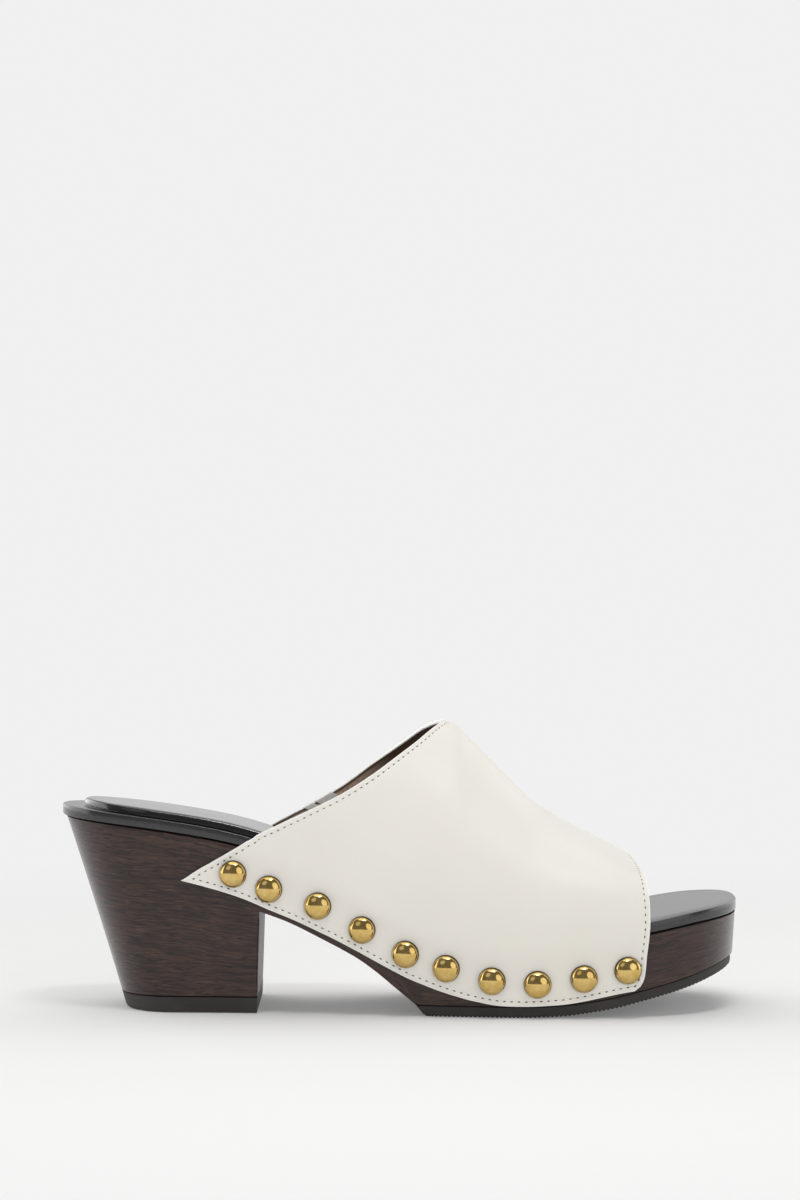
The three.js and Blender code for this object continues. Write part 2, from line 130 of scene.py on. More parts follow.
last = dict(
    length=240,  # footbed board, heel back to toe tip
    heelWidth=62,
    waistWidth=64,
    ballWidth=87,
    heelHeight=71.8,
    platformHeight=28,
    toeSpring=10,  # of the board's top
    treadSpring=15.4,  # of the underside
    seam=0.3,  # between two pieces
)
boardSizes = dict(thickness=3.6, edgeRadius=0.35, overhang=0.3)
unitSizes = dict(
    draft=3.8,  # lean of its sides
    waistThickness=24.7,
    breastAt=0.296,  # front face of the heel
    breastLean=1.1,
    heelBackInset=1,
    heelBackLean=18.2,
    edgeRadius=0.5,
    cornerRadius=1.3,  # the heel's two front corners
    cornerFade=7,  # height over which they start below the arch
    liftGap=0.02,
)
liftSizes = dict(thickness=5.5, edgeRadius=1)
outsoleSizes = dict(thickness=3.3, inset=0.7, edgeRadius=0.8, rearAt=0.523, bevel=2.8)

widths = tableOf("at width lateral medial", [
    (0.0, last["heelWidth"], 0.492, 0.484),
    (0.15, last["heelWidth"], 0.5, 0.492),
    (0.3, last["heelWidth"], 0.524, 0.476),
    (0.42, last["waistWidth"], 0.547, 0.445),
    (0.52, last["waistWidth"], 0.594, 0.484),
    (0.6, last["ballWidth"], 0.471, 0.414),
    (0.68, last["ballWidth"], 0.494, 0.471),
    (0.76, last["ballWidth"], 0.492, 0.503),
    (0.84, last["ballWidth"], 0.483, 0.516),
    (1.0, last["ballWidth"], 0.483, 0.516),
])
heelEnd = dict(reach=0.135, power=2.2)
toeEnd = dict(tip=0.092, lateral=(0.22, 2.5), medial=(0.16, 3))  # each side's reach and power
footbed = tableOf("at rise spring", [
    (0.0, 1.0, 0),
    (0.058, 0.968, 0),
    (0.136, 0.916, 0),
    (0.24, 0.822, 0),
    (0.283, 0.763, 0),
    (0.333, 0.669, 0),
    (0.388, 0.536, 0),
    (0.438, 0.388, 0),
    (0.479, 0.265, 0),
    (0.521, 0.148, 0),
    (0.563, 0.064, 0),
    (0.604, 0.018, 0),
    (0.65, 0, 0),
    (0.729, 0, 0.09),
    (0.77, 0, 0.2),
    (0.858, 0, 0.495),
    (0.93, 0, 0.8),
    (1.0, 0, 1),
])
tread = tableOf("at lift", [
    (0.0, 0),
    (0.68, 0),
    (0.736, 0.037),
    (0.772, 0.106),
    (0.809, 0.2),
    (0.846, 0.337),
    (0.923, 0.63),
    (0.963, 0.82),
    (1.0, 1),
])
arch = tableOf("way fall", [
    (0, 0),
    (0.172, 0.108),
    (0.401, 0.296),
    (0.628, 0.503),
    (0.742, 0.64),
    (0.853, 0.795),
    (1, 1),
])

sign = dict(lateral=-1, medial=1)
other = dict(lateral="medial", medial="lateral")
reach = {}
for side in sign:
    widths[side + "Reach"] = widths["width"] * widths[side]
    reach[side] = curve(widths, side + "Reach")
rise, spring = curve(footbed, "rise"), curve(footbed, "spring")
treadLift = curve(tread, "lift")
archFall = curve(arch, "fall", "way")
draft = math.tan(math.radians(unitSizes["draft"]))


def boardTop(at):
    heel = rise(at) * (last["heelHeight"] - last["platformHeight"])
    return last["platformHeight"] + heel + spring(at) * last["toeSpring"]


def unitTop(at):
    return boardTop(at) - boardSizes["thickness"] - last["seam"]


def treadHeight(at):
    return treadLift(at) * last["treadSpring"]


def outsoleTop(at):
    return treadHeight(at) + outsoleSizes["thickness"]


breastTop = boardTop(unitSizes["breastAt"]) - unitSizes["waistThickness"]


def underside(at):  # of the platform, going on level through the heel
    rear = outsoleSizes["rearAt"]
    way = np.clip((at - unitSizes["breastAt"]) / (rear - unitSizes["breastAt"]), 0, 1)
    arched = mix(breastTop, outsoleTop(rear) + last["seam"], archFall(way))
    return np.where(at >= rear, outsoleTop(at) + last["seam"], arched)


def boardEdge(side, at):  # the board's edge on one side, with rounded ends
    full = sign[side] * reach[side](at)
    tip = toeEnd["tip"] * last["ballWidth"]
    toeReach, toePower = toeEnd[side]
    heel = np.clip(1 - at / heelEnd["reach"], 0, 1) ** heelEnd["power"]
    toe = np.clip(1 - (1 - at) / toeReach, 0, 1) ** toePower
    rounded = full * (1 - heel) ** (1 / heelEnd["power"])
    return np.where(at < 0.5, rounded, mix(tip, full, (1 - toe) ** (1 / toePower)))


def shareOf(angle):  # stations go by angle, from 0 at the heel to pi at the toe tip
    return (1 - np.cos(angle)) / 2


def angleOf(at):
    return np.arccos(1 - 2 * np.clip(at, 0, 1))


def outline(side, angle, inset=0.0):  # plan point, moved inwards square to the edge
    def on(station):
        at = shareOf(station)
        past = (station < 0) | (station > math.pi)
        y = np.where(past, boardEdge(other[side], at), boardEdge(side, at))
        return np.stack([at * last["length"], y], -1)

    nudge = 0.01
    along = unitVector(on(angle + nudge) - on(angle - nudge))
    inwards = np.stack([along[..., 1], -along[..., 0]], -1) * sign[side]
    return on(angle) + inwards * np.asarray(inset)[..., None]


def unitPoint(side, angle, height, inset=0.0):  # on the unit's leaning side, at a height
    top = unitTop(shareOf(angle))
    drop = top - height
    plan = outline(side, angle, boardSizes["overhang"] + drop * draft + inset)
    forward = np.minimum(1, plan[..., 0] / (unitSizes["breastAt"] * last["length"]))
    lean = (unitSizes["heelBackInset"] + unitSizes["heelBackLean"] * drop / top) * (1 - forward)
    return np.stack([plan[..., 0] + lean, plan[..., 1], drop * 0 + height], -1)


def heelPoint(side, angle, height, inset=0.0):  # below the arch, where the front face leans back
    point = unitPoint(side, angle, height, inset)
    share = shareOf(angle) / unitSizes["breastAt"]
    point[..., 0] -= unitSizes["breastLean"] * share * (1 - height / breastTop)
    return point


# Meshes

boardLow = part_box("footbed_board")[0]
cadStations = np.linspace(0, math.pi, 41)
origin = np.array([boardLow.x, boardLow.y - outline("lateral", cadStations)[:, 1].min() * mm, 0])


def toFrame(points):
    return np.asarray(points) * mm + origin


meshSizes = dict(weld=2e-7, sharpAngle=38)


class Skin:  # one closed skin of grids of points that meet along their borders
    def __init__(self):
        self.points, self.faces, self.finishes, self.values = [], [], [], []

    def grid(self, points, finish=0, values=0.0):
        rows, columns = points.shape[:2]
        start = sum(len(p) for p in self.points)
        at = start + np.arange(rows * columns).reshape(rows, columns)
        corners = [at[:-1, :-1], at[:-1, 1:], at[1:, 1:], at[1:, :-1]]
        self.points.append(points.reshape(-1, 3))
        self.faces.append(np.stack(corners, -1).reshape(-1, 4))
        self.finishes.append(np.broadcast_to(finish, (rows - 1, columns - 1)).ravel())
        self.values.append(np.broadcast_to(values, (rows, columns, 3)).reshape(-1, 3))

    def mesh(self, name, attribute=None, sharpAngle=meshSizes["sharpAngle"]):
        made = bpy.data.meshes.new(name)
        made.from_pydata(toFrame(np.concatenate(self.points)), [], np.concatenate(self.faces).tolist())
        made.polygons.foreach_set("material_index", np.concatenate(self.finishes).astype(np.int32))
        if attribute:
            layer = made.attributes.new(attribute, "FLOAT_VECTOR", "POINT")
            layer.data.foreach_set("vector", np.concatenate(self.values).astype(np.float32).ravel())
        work = bmesh.new()
        work.from_mesh(made)
        bmesh.ops.remove_doubles(work, verts=work.verts, dist=meshSizes["weld"])
        bmesh.ops.recalc_face_normals(work, faces=work.faces)
        work.to_mesh(made)
        work.free()
        made.shade_smooth()
        made.set_sharp_from_angle(angle=math.radians(sharpAngle))
        return made


def ladder(left, right, across=1):  # rungs between two rails
    t = np.linspace(0, 1, across + 1)[None, :, None]
    return mix(left[:, None], right[:, None], t)


def bothSides(rail):
    return [rail("lateral"), rail("medial")]


def addPiece(name, mesh, nodes, materials):
    piece = bpy.data.objects.new(name, mesh)
    scene.collection.objects.link(piece)
    for material in materials:
        piece.data.materials.append(material)
    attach(piece, "root")
    if nodes:
        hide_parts(*nodes)
    return piece


def facingMesh(name, points, facings, edges=()):  # bare points that know which way they face
    made = bpy.data.meshes.new(name)
    made.from_pydata(toFrame(points), edges, [])
    layer = made.attributes.new("facing", "FLOAT_VECTOR", "POINT")
    layer.data.foreach_set("vector", facings.astype(np.float32).ravel())
    return made


def newTree(name, **inputs):  # a node tree for shapes, with named inputs
    tree = bpy.data.node_groups.new(name, "GeometryNodeTree")
    for label, kind in dict(Geometry="Geometry", **inputs, Material="Material").items():
        tree.interface.new_socket(label, in_out="INPUT", socket_type="NodeSocket" + kind)
    tree.interface.new_socket("Geometry", in_out="OUTPUT", socket_type="NodeSocketGeometry")
    return tree, addNode(tree, "NodeGroupInput").outputs


def endTree(tree, shapes, material):
    real = addNode(tree, "GeometryNodeRealizeInstances", {"Geometry": shapes})
    done = addNode(tree, "GeometryNodeSetMaterial", {"Geometry": real, "Material": material})
    addNode(tree, "NodeGroupOutput", {"Geometry": done})
    return tree


def bakeNodes(name, mesh, tree, inputs):  # runs a node tree on a mesh, and keeps the plain result
    piece = bpy.data.objects.new(name, mesh)
    scene.collection.objects.link(piece)
    modifier = piece.modifiers.new(tree.name, "NODES")
    modifier.node_group = tree
    for item in tree.interface.items_tree:
        if item.item_type == "SOCKET" and item.name in inputs:
            modifier[item.identifier] = inputs[item.name]
    piece.update_tag()
    bpy.context.view_layer.update()
    evaluated = piece.evaluated_get(bpy.context.evaluated_depsgraph_get())
    made = bpy.data.meshes.new_from_object(evaluated)
    piece.modifiers.clear()
    made.name = name
    bpy.data.objects.remove(piece)
    return made


# Materials

def newMaterial(name, colour, roughness, **sockets):
    made = bpy.data.materials.new(name)
    made.use_nodes = True
    tree = made.node_tree
    shader = tree.nodes["Principled BSDF"]
    shader.inputs["Base Color"].default_value = linear(colour)
    shader.inputs["Roughness"].default_value = roughness
    for socket, value in sockets.items():
        shader.inputs[socket.replace("_", " ")].default_value = value
    return made, tree, shader


def addBump(tree, shader, height, depth):  # depth is the relief in millimetres
    bump = addNode(tree, "ShaderNodeBump", {"Strength": 1.0, "Distance": depth * mm, "Height": height})
    tree.links.new(bump.outputs["Normal"], shader.inputs["Normal"])


def colourWith(tree, shader, tone):
    tree.links.new(tone, shader.inputs["Base Color"])


def blend(tree, factor, a, b):  # between two colours, each a hex code or a socket
    tones = [linear(tone) if isinstance(tone, str) else tone for tone in (a, b)]
    made = addNode(tree, "ShaderNodeMix", {
        "Factor_Float": factor, "A_Color": tones[0], "B_Color": tones[1]}, data_type="RGBA")
    return next(s for s in made.outputs if s.enabled)


def placeOn(tree):  # a point's place on the part
    return addNode(tree, "ShaderNodeTexCoord").outputs["Object"]


def noise(tree, place, scale, detail=2.0, roughness=0.5):
    return addNode(tree, "ShaderNodeTexNoise", {
        "Vector": place, "Scale": scale, "Detail": detail, "Roughness": roughness}).outputs[0]


def ramp(tree, value, low, high, least=0.0, most=1.0, ease="LINEAR"):
    return addNode(tree, "ShaderNodeMapRange", {
        "Value": value, "From Min": low, "From Max": high, "To Min": least, "To Max": most},
        interpolation_type=ease).outputs["Result"]


def softRamp(tree, value, low, high, least=0.0, most=1.0):
    return ramp(tree, value, low, high, least, most, "SMOOTHSTEP")


def maths(tree, kind, a, b):
    return addNode(tree, "ShaderNodeMath", {0: a, 1: b}, operation=kind)


# Camera, floor and light

cameraSizes = dict(distance=1114.8, height=143.9, focalPixels=3120, tallPixels=1200, sensor=36, farClip=20)
# fill is the share of the floor that glows even near the shoe, a painted light that lightens its shadows
stageSizes = dict(floor=6000, nearFloor=160, farFloor=620, alongShoe=0.6, fill=0.15)
stageLook = dict(backdrop="f0f0f0", floor="ececeb", roughness=0.9)

cameraData = bpy.data.cameras.new("camera")
cameraData.sensor_width = cameraSizes["sensor"]
cameraData.lens = cameraSizes["focalPixels"] / cameraSizes["tallPixels"] * cameraSizes["sensor"]
cameraData.clip_end = cameraSizes["farClip"]
camera = bpy.data.objects.new("camera", cameraData)
camera.location = (0, -cameraSizes["distance"] * mm, cameraSizes["height"] * mm)
camera.rotation_euler = (math.pi / 2, 0, 0)
scene.collection.objects.link(camera)
scene.camera = camera
scene.view_settings.view_transform = "Standard"


def paperFloor():  # pale paper sweep: matt near the shoe, and it fades to the backdrop's own tone
    made, tree, shader = newMaterial("matt paper sweep", stageLook["floor"], stageLook["roughness"])
    scale = (stageSizes["alongShoe"], 1, 1)
    oval = addNode(tree, "ShaderNodeMapping", {"Vector": placeOn(tree), "Scale": scale})
    distance = addNode(tree, "ShaderNodeVectorMath", {0: oval}, operation="LENGTH").outputs["Value"]
    near, far = stageSizes["nearFloor"] * mm, stageSizes["farFloor"] * mm
    # painted light: at least the fill share of the floor glows in the backdrop's tone, lightening the cast
    # shadows near the shoe; farther off it glows fully
    fade = softRamp(tree, distance, near, far, stageSizes["fill"])
    glow = addNode(tree, "ShaderNodeEmission", {"Color": linear(stageLook["backdrop"])})
    blended = addNode(tree, "ShaderNodeMixShader", {0: fade, 1: shader, 2: glow})
    tree.links.new(blended.outputs[0], tree.nodes["Material Output"].inputs["Surface"])
    return made


half = stageSizes["floor"] * mm / 2
floorCorners = [(-half, -half, 0), (half, -half, 0), (half, half, 0), (-half, half, 0)]
floorMesh = bpy.data.meshes.new("floor")
floorMesh.from_pydata(floorCorners, [], [(0, 1, 2, 3)])
floorMesh.materials.append(paperFloor())
floor = bpy.data.objects.new("floor", floorMesh)
scene.collection.objects.link(floor)
floor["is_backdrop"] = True

# The studio: a bright sweep behind the shoe, a dark room in front, and softboxes round the camera
studio = dict(sweep=0.9, room=0.24, roomSide=0.27, sweepTop=0.45, sweepFade=0.1, paneFade=(0.02, 0.01))
studio["panes"] = [
    dict(toward=(-0.474, -0.576, 0.56), size=0.26, strength=0.85),
    dict(toward=(0.656, -0.653, 0.30), size=0.4, strength=1.5),
    dict(toward=(0, 0.02, 1), size=0.44, strength=1.85),
    dict(toward=(0, 0.5, 0.87), size=0.44, strength=1.85),
    dict(toward=(-0.87, 0.49, 0.1), size=0.7, strength=2.5),
    dict(toward=(0.82, 0.57, 0.1), size=0.55, strength=1.9),
]


def studioWorld():
    world = bpy.data.worlds.new("studio")
    scene.world = world
    world.use_nodes = True
    tree = world.node_tree
    way = addNode(tree, "ShaderNodeTexCoord").outputs["Generated"]
    axes = addNode(tree, "ShaderNodeSeparateXYZ", {0: way})
    top, fade, outer, inner = studio["sweepTop"], studio["sweepFade"], *studio["paneFade"]
    behind = softRamp(tree, axes.outputs["Y"], -studio["roomSide"], studio["roomSide"])
    low = softRamp(tree, axes.outputs["Z"], top + fade, top - fade)
    light = ramp(tree, maths(tree, "MULTIPLY", behind, low), 0, 1, studio["room"], studio["sweep"])
    for pane in studio["panes"]:
        toward = Vector(pane["toward"]).normalized()
        near = addNode(tree, "ShaderNodeVectorMath", {0: way, 1: toward}, operation="DOT_PRODUCT")
        edge = math.cos(pane["size"])
        bright = softRamp(tree, near.outputs["Value"], edge - outer, edge + inner, 0, pane["strength"])
        light = maths(tree, "MAXIMUM", light, bright)
    lit = addNode(tree, "ShaderNodeBackground", {"Strength": light})
    seen = addNode(tree, "ShaderNodeBackground", {"Color": linear(stageLook["backdrop"])})
    straight = addNode(tree, "ShaderNodeLightPath").outputs["Is Camera Ray"]
    shown = addNode(tree, "ShaderNodeMixShader", {0: straight, 1: lit, 2: seen})
    addNode(tree, "ShaderNodeOutputWorld", {"Surface": shown}, is_active_output=True)


studioWorld()

# A narrow strip draws the bright line on rounded edges, and a wide fill is too soft to be mirrored
softboxes = [
    dict(name="strip_softbox", place=(110, -340, 1000), width=260, depth=90, power=1.9, mirrored=True),
    dict(name="front_fill", place=(0, -1500, 350), width=1200, depth=800, power=5.0, mirrored=False),
]
aim = Vector((0, 0, 30)) * mm
for box in softboxes:
    light = bpy.data.lights.new(box["name"], "AREA")
    light.shape = "RECTANGLE"
    light.size = box["width"] * mm
    light.size_y = box["depth"] * mm
    light.energy = box["power"]
    lamp = bpy.data.objects.new(box["name"], light)
    lamp.location = Vector(box["place"]) * mm
    lamp.rotation_euler = (aim - lamp.location).to_track_quat("-Z", "Y").to_euler()
    lamp.visible_glossy = box["mirrored"]
    scene.collection.objects.link(lamp)
print("Camera, floor and light set")


# Platform and heel unit

woodLook = dict(
    dark="1c120f",
    base="3c2720",
    light="5a4238",
    # seam is the painted shade colour of the line in the joints
    seam="0d0a09",
    roughness=0.5,
    specular=0.15,
    coatRoughness=0.26,
    coatIor=1.4,
    relief=0.05,
    shadeLineGrains=1.5,  # a millimetre
    wavers=[(34, 12, 0.8), (6, 4, 0.12)],  # each one's length, height and how far it lifts a line
)
# Marks along the grain, in millimetres, and where the noise that draws them starts and is full
grainMarks = dict(
    lines=dict(length=6, width=0.24, detail=2, starts=0.36, full=0.6, most=1),
    pores=dict(length=2.4, width=0.18, detail=1, starts=0.34, full=0.45, most=1),
    flecks=dict(length=3, width=0.12, detail=1, starts=0.6, full=0.72, most=0.6),
    bands=dict(length=40, width=4, detail=2, starts=0.35, full=0.75, most=0.2),
)


def stainedWood(name, coat):
    # Beech stained dark under a satin lacquer: fine level grain lines, short dark pores, soft gloss
    made, tree, shader = newMaterial(
        name, woodLook["base"], woodLook["roughness"], Coat_Weight=coat, Coat_IOR=woodLook["coatIor"],
        Coat_Roughness=woodLook["coatRoughness"], Specular_IOR_Level=woodLook["specular"])
    grain = addNode(tree, "ShaderNodeAttribute", attribute_name="grain").outputs["Vector"]
    lift = 0.0
    for length, height, most in woodLook["wavers"]:
        scale = (1 / length, 1 / length, 1 / height)
        drift = addNode(tree, "ShaderNodeMapping", {"Vector": grain, "Scale": scale})
        waver = ramp(tree, noise(tree, drift, 1.0, 1.0), 0.2, 0.8, -most, most)
        lift = maths(tree, "ADD", lift, waver)
    lift = addNode(tree, "ShaderNodeCombineXYZ", {"Z": lift})
    wavy = addNode(tree, "ShaderNodeVectorMath", {0: grain, 1: lift}, operation="ADD")
    marks = {}
    for mark, look in grainMarks.items():
        scale = (1 / look["length"], 1 / look["length"], 1 / look["width"])
        placed = addNode(tree, "ShaderNodeMapping", {"Vector": wavy, "Scale": scale})
        value = noise(tree, placed, 0.5, look["detail"], 0.6)
        marks[mark] = softRamp(tree, value, look["starts"], look["full"], 0, look["most"])
    tone = blend(tree, marks["lines"], woodLook["dark"], woodLook["base"])
    tone = blend(tree, marks["bands"], tone, woodLook["light"])
    tone = blend(tree, marks["flecks"], tone, woodLook["light"])
    tone = blend(tree, marks["pores"], woodLook["dark"], tone)
    colourWith(tree, shader, tone)
    addBump(tree, shader, maths(tree, "ADD", marks["pores"], marks["lines"]), woodLook["relief"])
    return made


def paintedJointShade():
    # Painted shade: a thin, nearly black matt line in the joints under the board and above the rubber,
    # standing for the shadow there
    made, tree, shader = newMaterial("painted shade line in a joint", woodLook["seam"], 0.8,
                                     Specular_IOR_Level=0.1)
    shadeMottle = noise(tree, placeOn(tree), woodLook["shadeLineGrains"] / mm)
    colourWith(tree, shader, blend(tree, shadeMottle, woodLook["seam"], woodLook["dark"]))
    addBump(tree, shader, shadeMottle, woodLook["relief"])
    return made


def rounding(radius, steps=3):  # how far in and how far down a rounded edge goes, from its top
    turns = np.linspace(0, math.pi / 2, steps + 1)
    return [(radius * (1 - math.sin(t)), radius * (1 - math.cos(t))) for t in turns]


# Rows and stations of the unit's skin, and how tall its grain is drawn at the heel and the toe
unitSkin = dict(heelStations=90, cornerStations=9, platformStations=220, sideRows=12, heelRows=40,
                across=12, easeOver=0.03, heelGrain=46, toeGrain=24, grainSettlesAt=0.45)


def platformHeelUnit():
    skin = Skin()
    radius, corner, breastAt = unitSizes["edgeRadius"], unitSizes["cornerRadius"], unitSizes["breastAt"]
    breast = angleOf(breastAt)
    near = angleOf(breastAt - corner / last["length"])
    heel = np.concatenate([np.linspace(0, near, unitSkin["heelStations"]),
                           np.linspace(near, breast, unitSkin["cornerStations"])[1:]])
    platform = np.linspace(breast, math.pi, unitSkin["platformStations"])

    def along(points, angle):  # grain space: along, across, and height between top and underside
        at = shareOf(angle)
        base = np.where(at < breastAt, 0, underside(at))
        share = (points[..., 2] - base) / (unitTop(at) - base)
        toward = smooth(at, breastAt, unitSkin["grainSettlesAt"])
        level = share * mix(unitSkin["heelGrain"], unitSkin["toeGrain"], toward)
        return np.stack([points[..., 0], points[..., 1], level], -1)

    def addSides(stations, point, rows, finishes):  # rows are (height, inset), arrays over the stations
        sides = [np.stack([point(s, stations, h, i) for h, i in rows]) for s in sign]
        for side in sides:
            skin.grid(side, finishes, along(side, stations[None]))
        return sides

    def addLevel(left, right, stations):
        level = ladder(left, right, unitSkin["across"])
        skin.grid(level, 2, along(level, stations[:, None]))

    for stations, isHeel in ((heel, True), (platform, False)):
        at = shareOf(stations)
        top, low, turn = unitTop(at), underside(at), rounding(radius)
        eased = smooth(at, breastAt, breastAt + unitSkin["easeOver"])
        rows = [(top - d, at * 0 + i) for i, d in turn]
        falls = np.linspace(0, 1, unitSkin["sideRows"] + 1)[1:]
        rows += [(mix(top - radius, low + radius * eased, t), at * 0) for t in falls]
        rows += [(low + eased * d, eased * i) for i, d in reversed(turn[:-1])]
        # finish 1 is the painted shade line in the joints, under the board and above the outsole
        finishes = np.zeros((len(rows) - 1, len(at) - 1), int)
        finishes[:len(turn) - 1] = 1
        if not isHeel:
            finishes[1 - len(turn):] = np.where(at[1:] > outsoleSizes["rearAt"], 1, 0)
        sides = addSides(stations, unitPoint, rows, finishes)
        addLevel(sides[0][0], sides[1][0], stations)
        if not isHeel:
            addLevel(sides[0][-1], sides[1][-1], stations)

    at = shareOf(heel)
    past = np.clip((breastAt - at) * last["length"] / corner, 0, 1)
    tuck = corner - np.sqrt(np.maximum(0, corner ** 2 - (corner * (1 - past)) ** 2))
    base = liftSizes["thickness"] + unitSizes["liftGap"]
    heights = np.linspace(breastTop, base, unitSkin["heelRows"])
    rows = [(at * 0 + h, tuck * float(smooth(breastTop - h, 0, unitSizes["cornerFade"]))) for h in heights]
    rows.insert(-1, (at * 0 + base + radius, tuck))
    finishes = np.zeros((len(rows) - 1, len(at) - 1), int)
    # the row just above the heel lift gets the painted shade line too
    finishes[-1] = 1
    sides = addSides(heel, heelPoint, rows, finishes)
    addLevel(sides[0][-1], sides[1][-1], heel)
    front = ladder(sides[0][:, -1], sides[1][:, -1], unitSkin["across"])
    skin.grid(front, 2, along(front, np.array([[breast]])))
    return skin.mesh("platform_heel_unit_stained", "grain")


# the second material is the painted shade line in the joints
addPiece("platform_heel_unit_stained", platformHeelUnit(), ["platform_heel_unit"],
         [stainedWood("stained beech, satin lacquer", 1.0), paintedJointShade(),
          stainedWood("stained beech, thin lacquer", 0.4)])
print("Platform and heel unit made")


# Footbed board

boardLook = dict(colour="29282a", fleck="343335", fleckSize=0.35, relief=0.006, roughness=0.24, coat=0.35,
                 coatRoughness=0.14)


def lacqueredBoard():
    # Pressed fibre board sprayed black: an even satin that turns pale grey at a low angle
    made, tree, shader = newMaterial(
        "black lacquered fibreboard", boardLook["colour"], boardLook["roughness"],
        Coat_Weight=boardLook["coat"], Coat_Roughness=boardLook["coatRoughness"])
    fibre = noise(tree, placeOn(tree), 0.5 / (boardLook["fleckSize"] * mm), 3.0)
    fleck = ramp(tree, fibre, 0.5, 0.75)
    colourWith(tree, shader, blend(tree, fleck, boardLook["colour"], boardLook["fleck"]))
    addBump(tree, shader, fibre, boardLook["relief"])
    return made


def footbedBoard():
    skin = Skin()
    stations = np.linspace(0, math.pi, 260)
    top = boardTop(shareOf(stations))
    thickness = boardSizes["thickness"]
    edge = rounding(boardSizes["edgeRadius"])
    profile = edge + [(i, thickness - d) for i, d in reversed(edge)]

    def rail(side, inset, drop):
        return np.concatenate([outline(side, stations, inset), (top - drop)[:, None]], -1)

    sides = [np.stack([rail(s, i, d) for i, d in profile]) for s in sign]
    for side in sides:
        skin.grid(side)
    for row in (0, -1):
        skin.grid(ladder(sides[0][row], sides[1][row], 6))
    return skin.mesh("footbed_board_lacquered")


addPiece("footbed_board_lacquered", footbedBoard(), ["footbed_board"], [lacqueredBoard()])
print("Footbed board made")


# Rubber outsole and heel lift

rubberLook = dict(colour="2b2827", dust="3a3634", roughness=0.62, grit=0.3, cloud=25, relief=0.03)
treadSizes = dict(pitch=1.5, depth=0.35, grooveStarts=0.52, grooveFull=0.68, step=0.3)


def mouldedRubber():
    # Moulded rubber: matt black, with a fine gritty skin and a little dust
    made, tree, shader = newMaterial("moulded rubber", rubberLook["colour"], rubberLook["roughness"])
    place = placeOn(tree)
    grit = noise(tree, place, 0.5 / (rubberLook["grit"] * mm))
    dust = ramp(tree, noise(tree, place, 1 / (rubberLook["cloud"] * mm), 3.0), 0.45, 0.75)
    colourWith(tree, shader, blend(tree, dust, rubberLook["colour"], rubberLook["dust"]))
    addBump(tree, shader, grit, rubberLook["relief"])
    return made


def treadTree():  # cuts level grooves across the faces that are marked as tread
    tree, given = newTree("transverse tread", Pitch="Float", Depth="Float")
    marked = addNode(tree, "GeometryNodeInputNamedAttribute", {"Name": "tread"}, data_type="FLOAT_VECTOR")
    mark = addNode(tree, "ShaderNodeSeparateXYZ", {0: marked.outputs["Attribute"]})
    part = maths(tree, "PINGPONG", maths(tree, "DIVIDE", mark.outputs["Y"], given["Pitch"]), 1.0)
    groove = softRamp(tree, part, treadSizes["grooveStarts"], treadSizes["grooveFull"])
    depth = maths(tree, "MULTIPLY", maths(tree, "MULTIPLY", groove, mark.outputs["X"]), given["Depth"])
    offset = addNode(tree, "ShaderNodeCombineXYZ", {"Z": depth})
    moved = addNode(tree, "GeometryNodeSetPosition", {"Geometry": given["Geometry"], "Offset": offset})
    return endTree(tree, moved, given["Material"])


def layered(levels, stations, treads, across=8):  # levels from the top down; treads marks each one
    skin = Skin()
    x = shareOf(stations) * last["length"] * mm
    treads = np.array(treads, float)

    def addMarked(points, mark, place):
        none = points[..., 0] * 0
        skin.grid(points, values=np.stack([none + mark, none + place, none], -1))

    for i in (0, 1):
        addMarked(np.stack([rails[i] for rails in levels]), treads[:, None], x)
    for end in (0, -1):
        addMarked(ladder(levels[end][0], levels[end][1], across), treads[end], x[:, None])
        cap = np.stack([ladder(left[end:][:1], right[end:][:1], across)[0] for left, right in levels])
        addMarked(cap, treads[:, None], x[end])
    return skin


def rubberPiece(name, skin, node, rubber, tree):
    pitch, depth = treadSizes["pitch"] * mm, treadSizes["depth"] * mm
    mesh = bakeNodes(name, skin.mesh(name, "tread"), tree,
                     {"Pitch": pitch / 2, "Depth": depth, "Material": rubber})
    mesh.set_sharp_from_angle(angle=math.radians(meshSizes["sharpAngle"]))
    addPiece(name, mesh, [node], [])


def forepartOutsole():
    rear = outsoleSizes["rearAt"]
    thickness, radius = outsoleSizes["thickness"], outsoleSizes["edgeRadius"]
    fine = np.arange(rear + 0.002, 1, treadSizes["step"] / last["length"])
    toeStations = np.linspace(2.4, math.pi, 60)
    stations = np.sort(np.concatenate([[angleOf(rear)], angleOf(fine), toeStations]))
    at = shareOf(stations)
    floor = treadHeight(at)
    back = 1 - smooth(at, rear, rear + outsoleSizes["bevel"] * 2 / last["length"])

    def rails(height, inset):
        def rail(side):
            point = unitPoint(side, stations, floor + thickness, outsoleSizes["inset"] + inset)
            bevel = outsoleSizes["bevel"] * back * (1 - height / thickness)
            return np.stack([point[:, 0] + bevel, point[:, 1], floor + height], -1)

        return bothSides(rail)

    edge = rounding(radius)
    levels = [rails(thickness + last["seam"] * 0.9, 0), rails(thickness * 0.6, 0)]
    levels += [rails(d, i) for i, d in reversed(edge)]
    treads = [False, False] + [d < radius * 0.9 for i, d in reversed(edge)]
    return layered(levels, stations, treads)


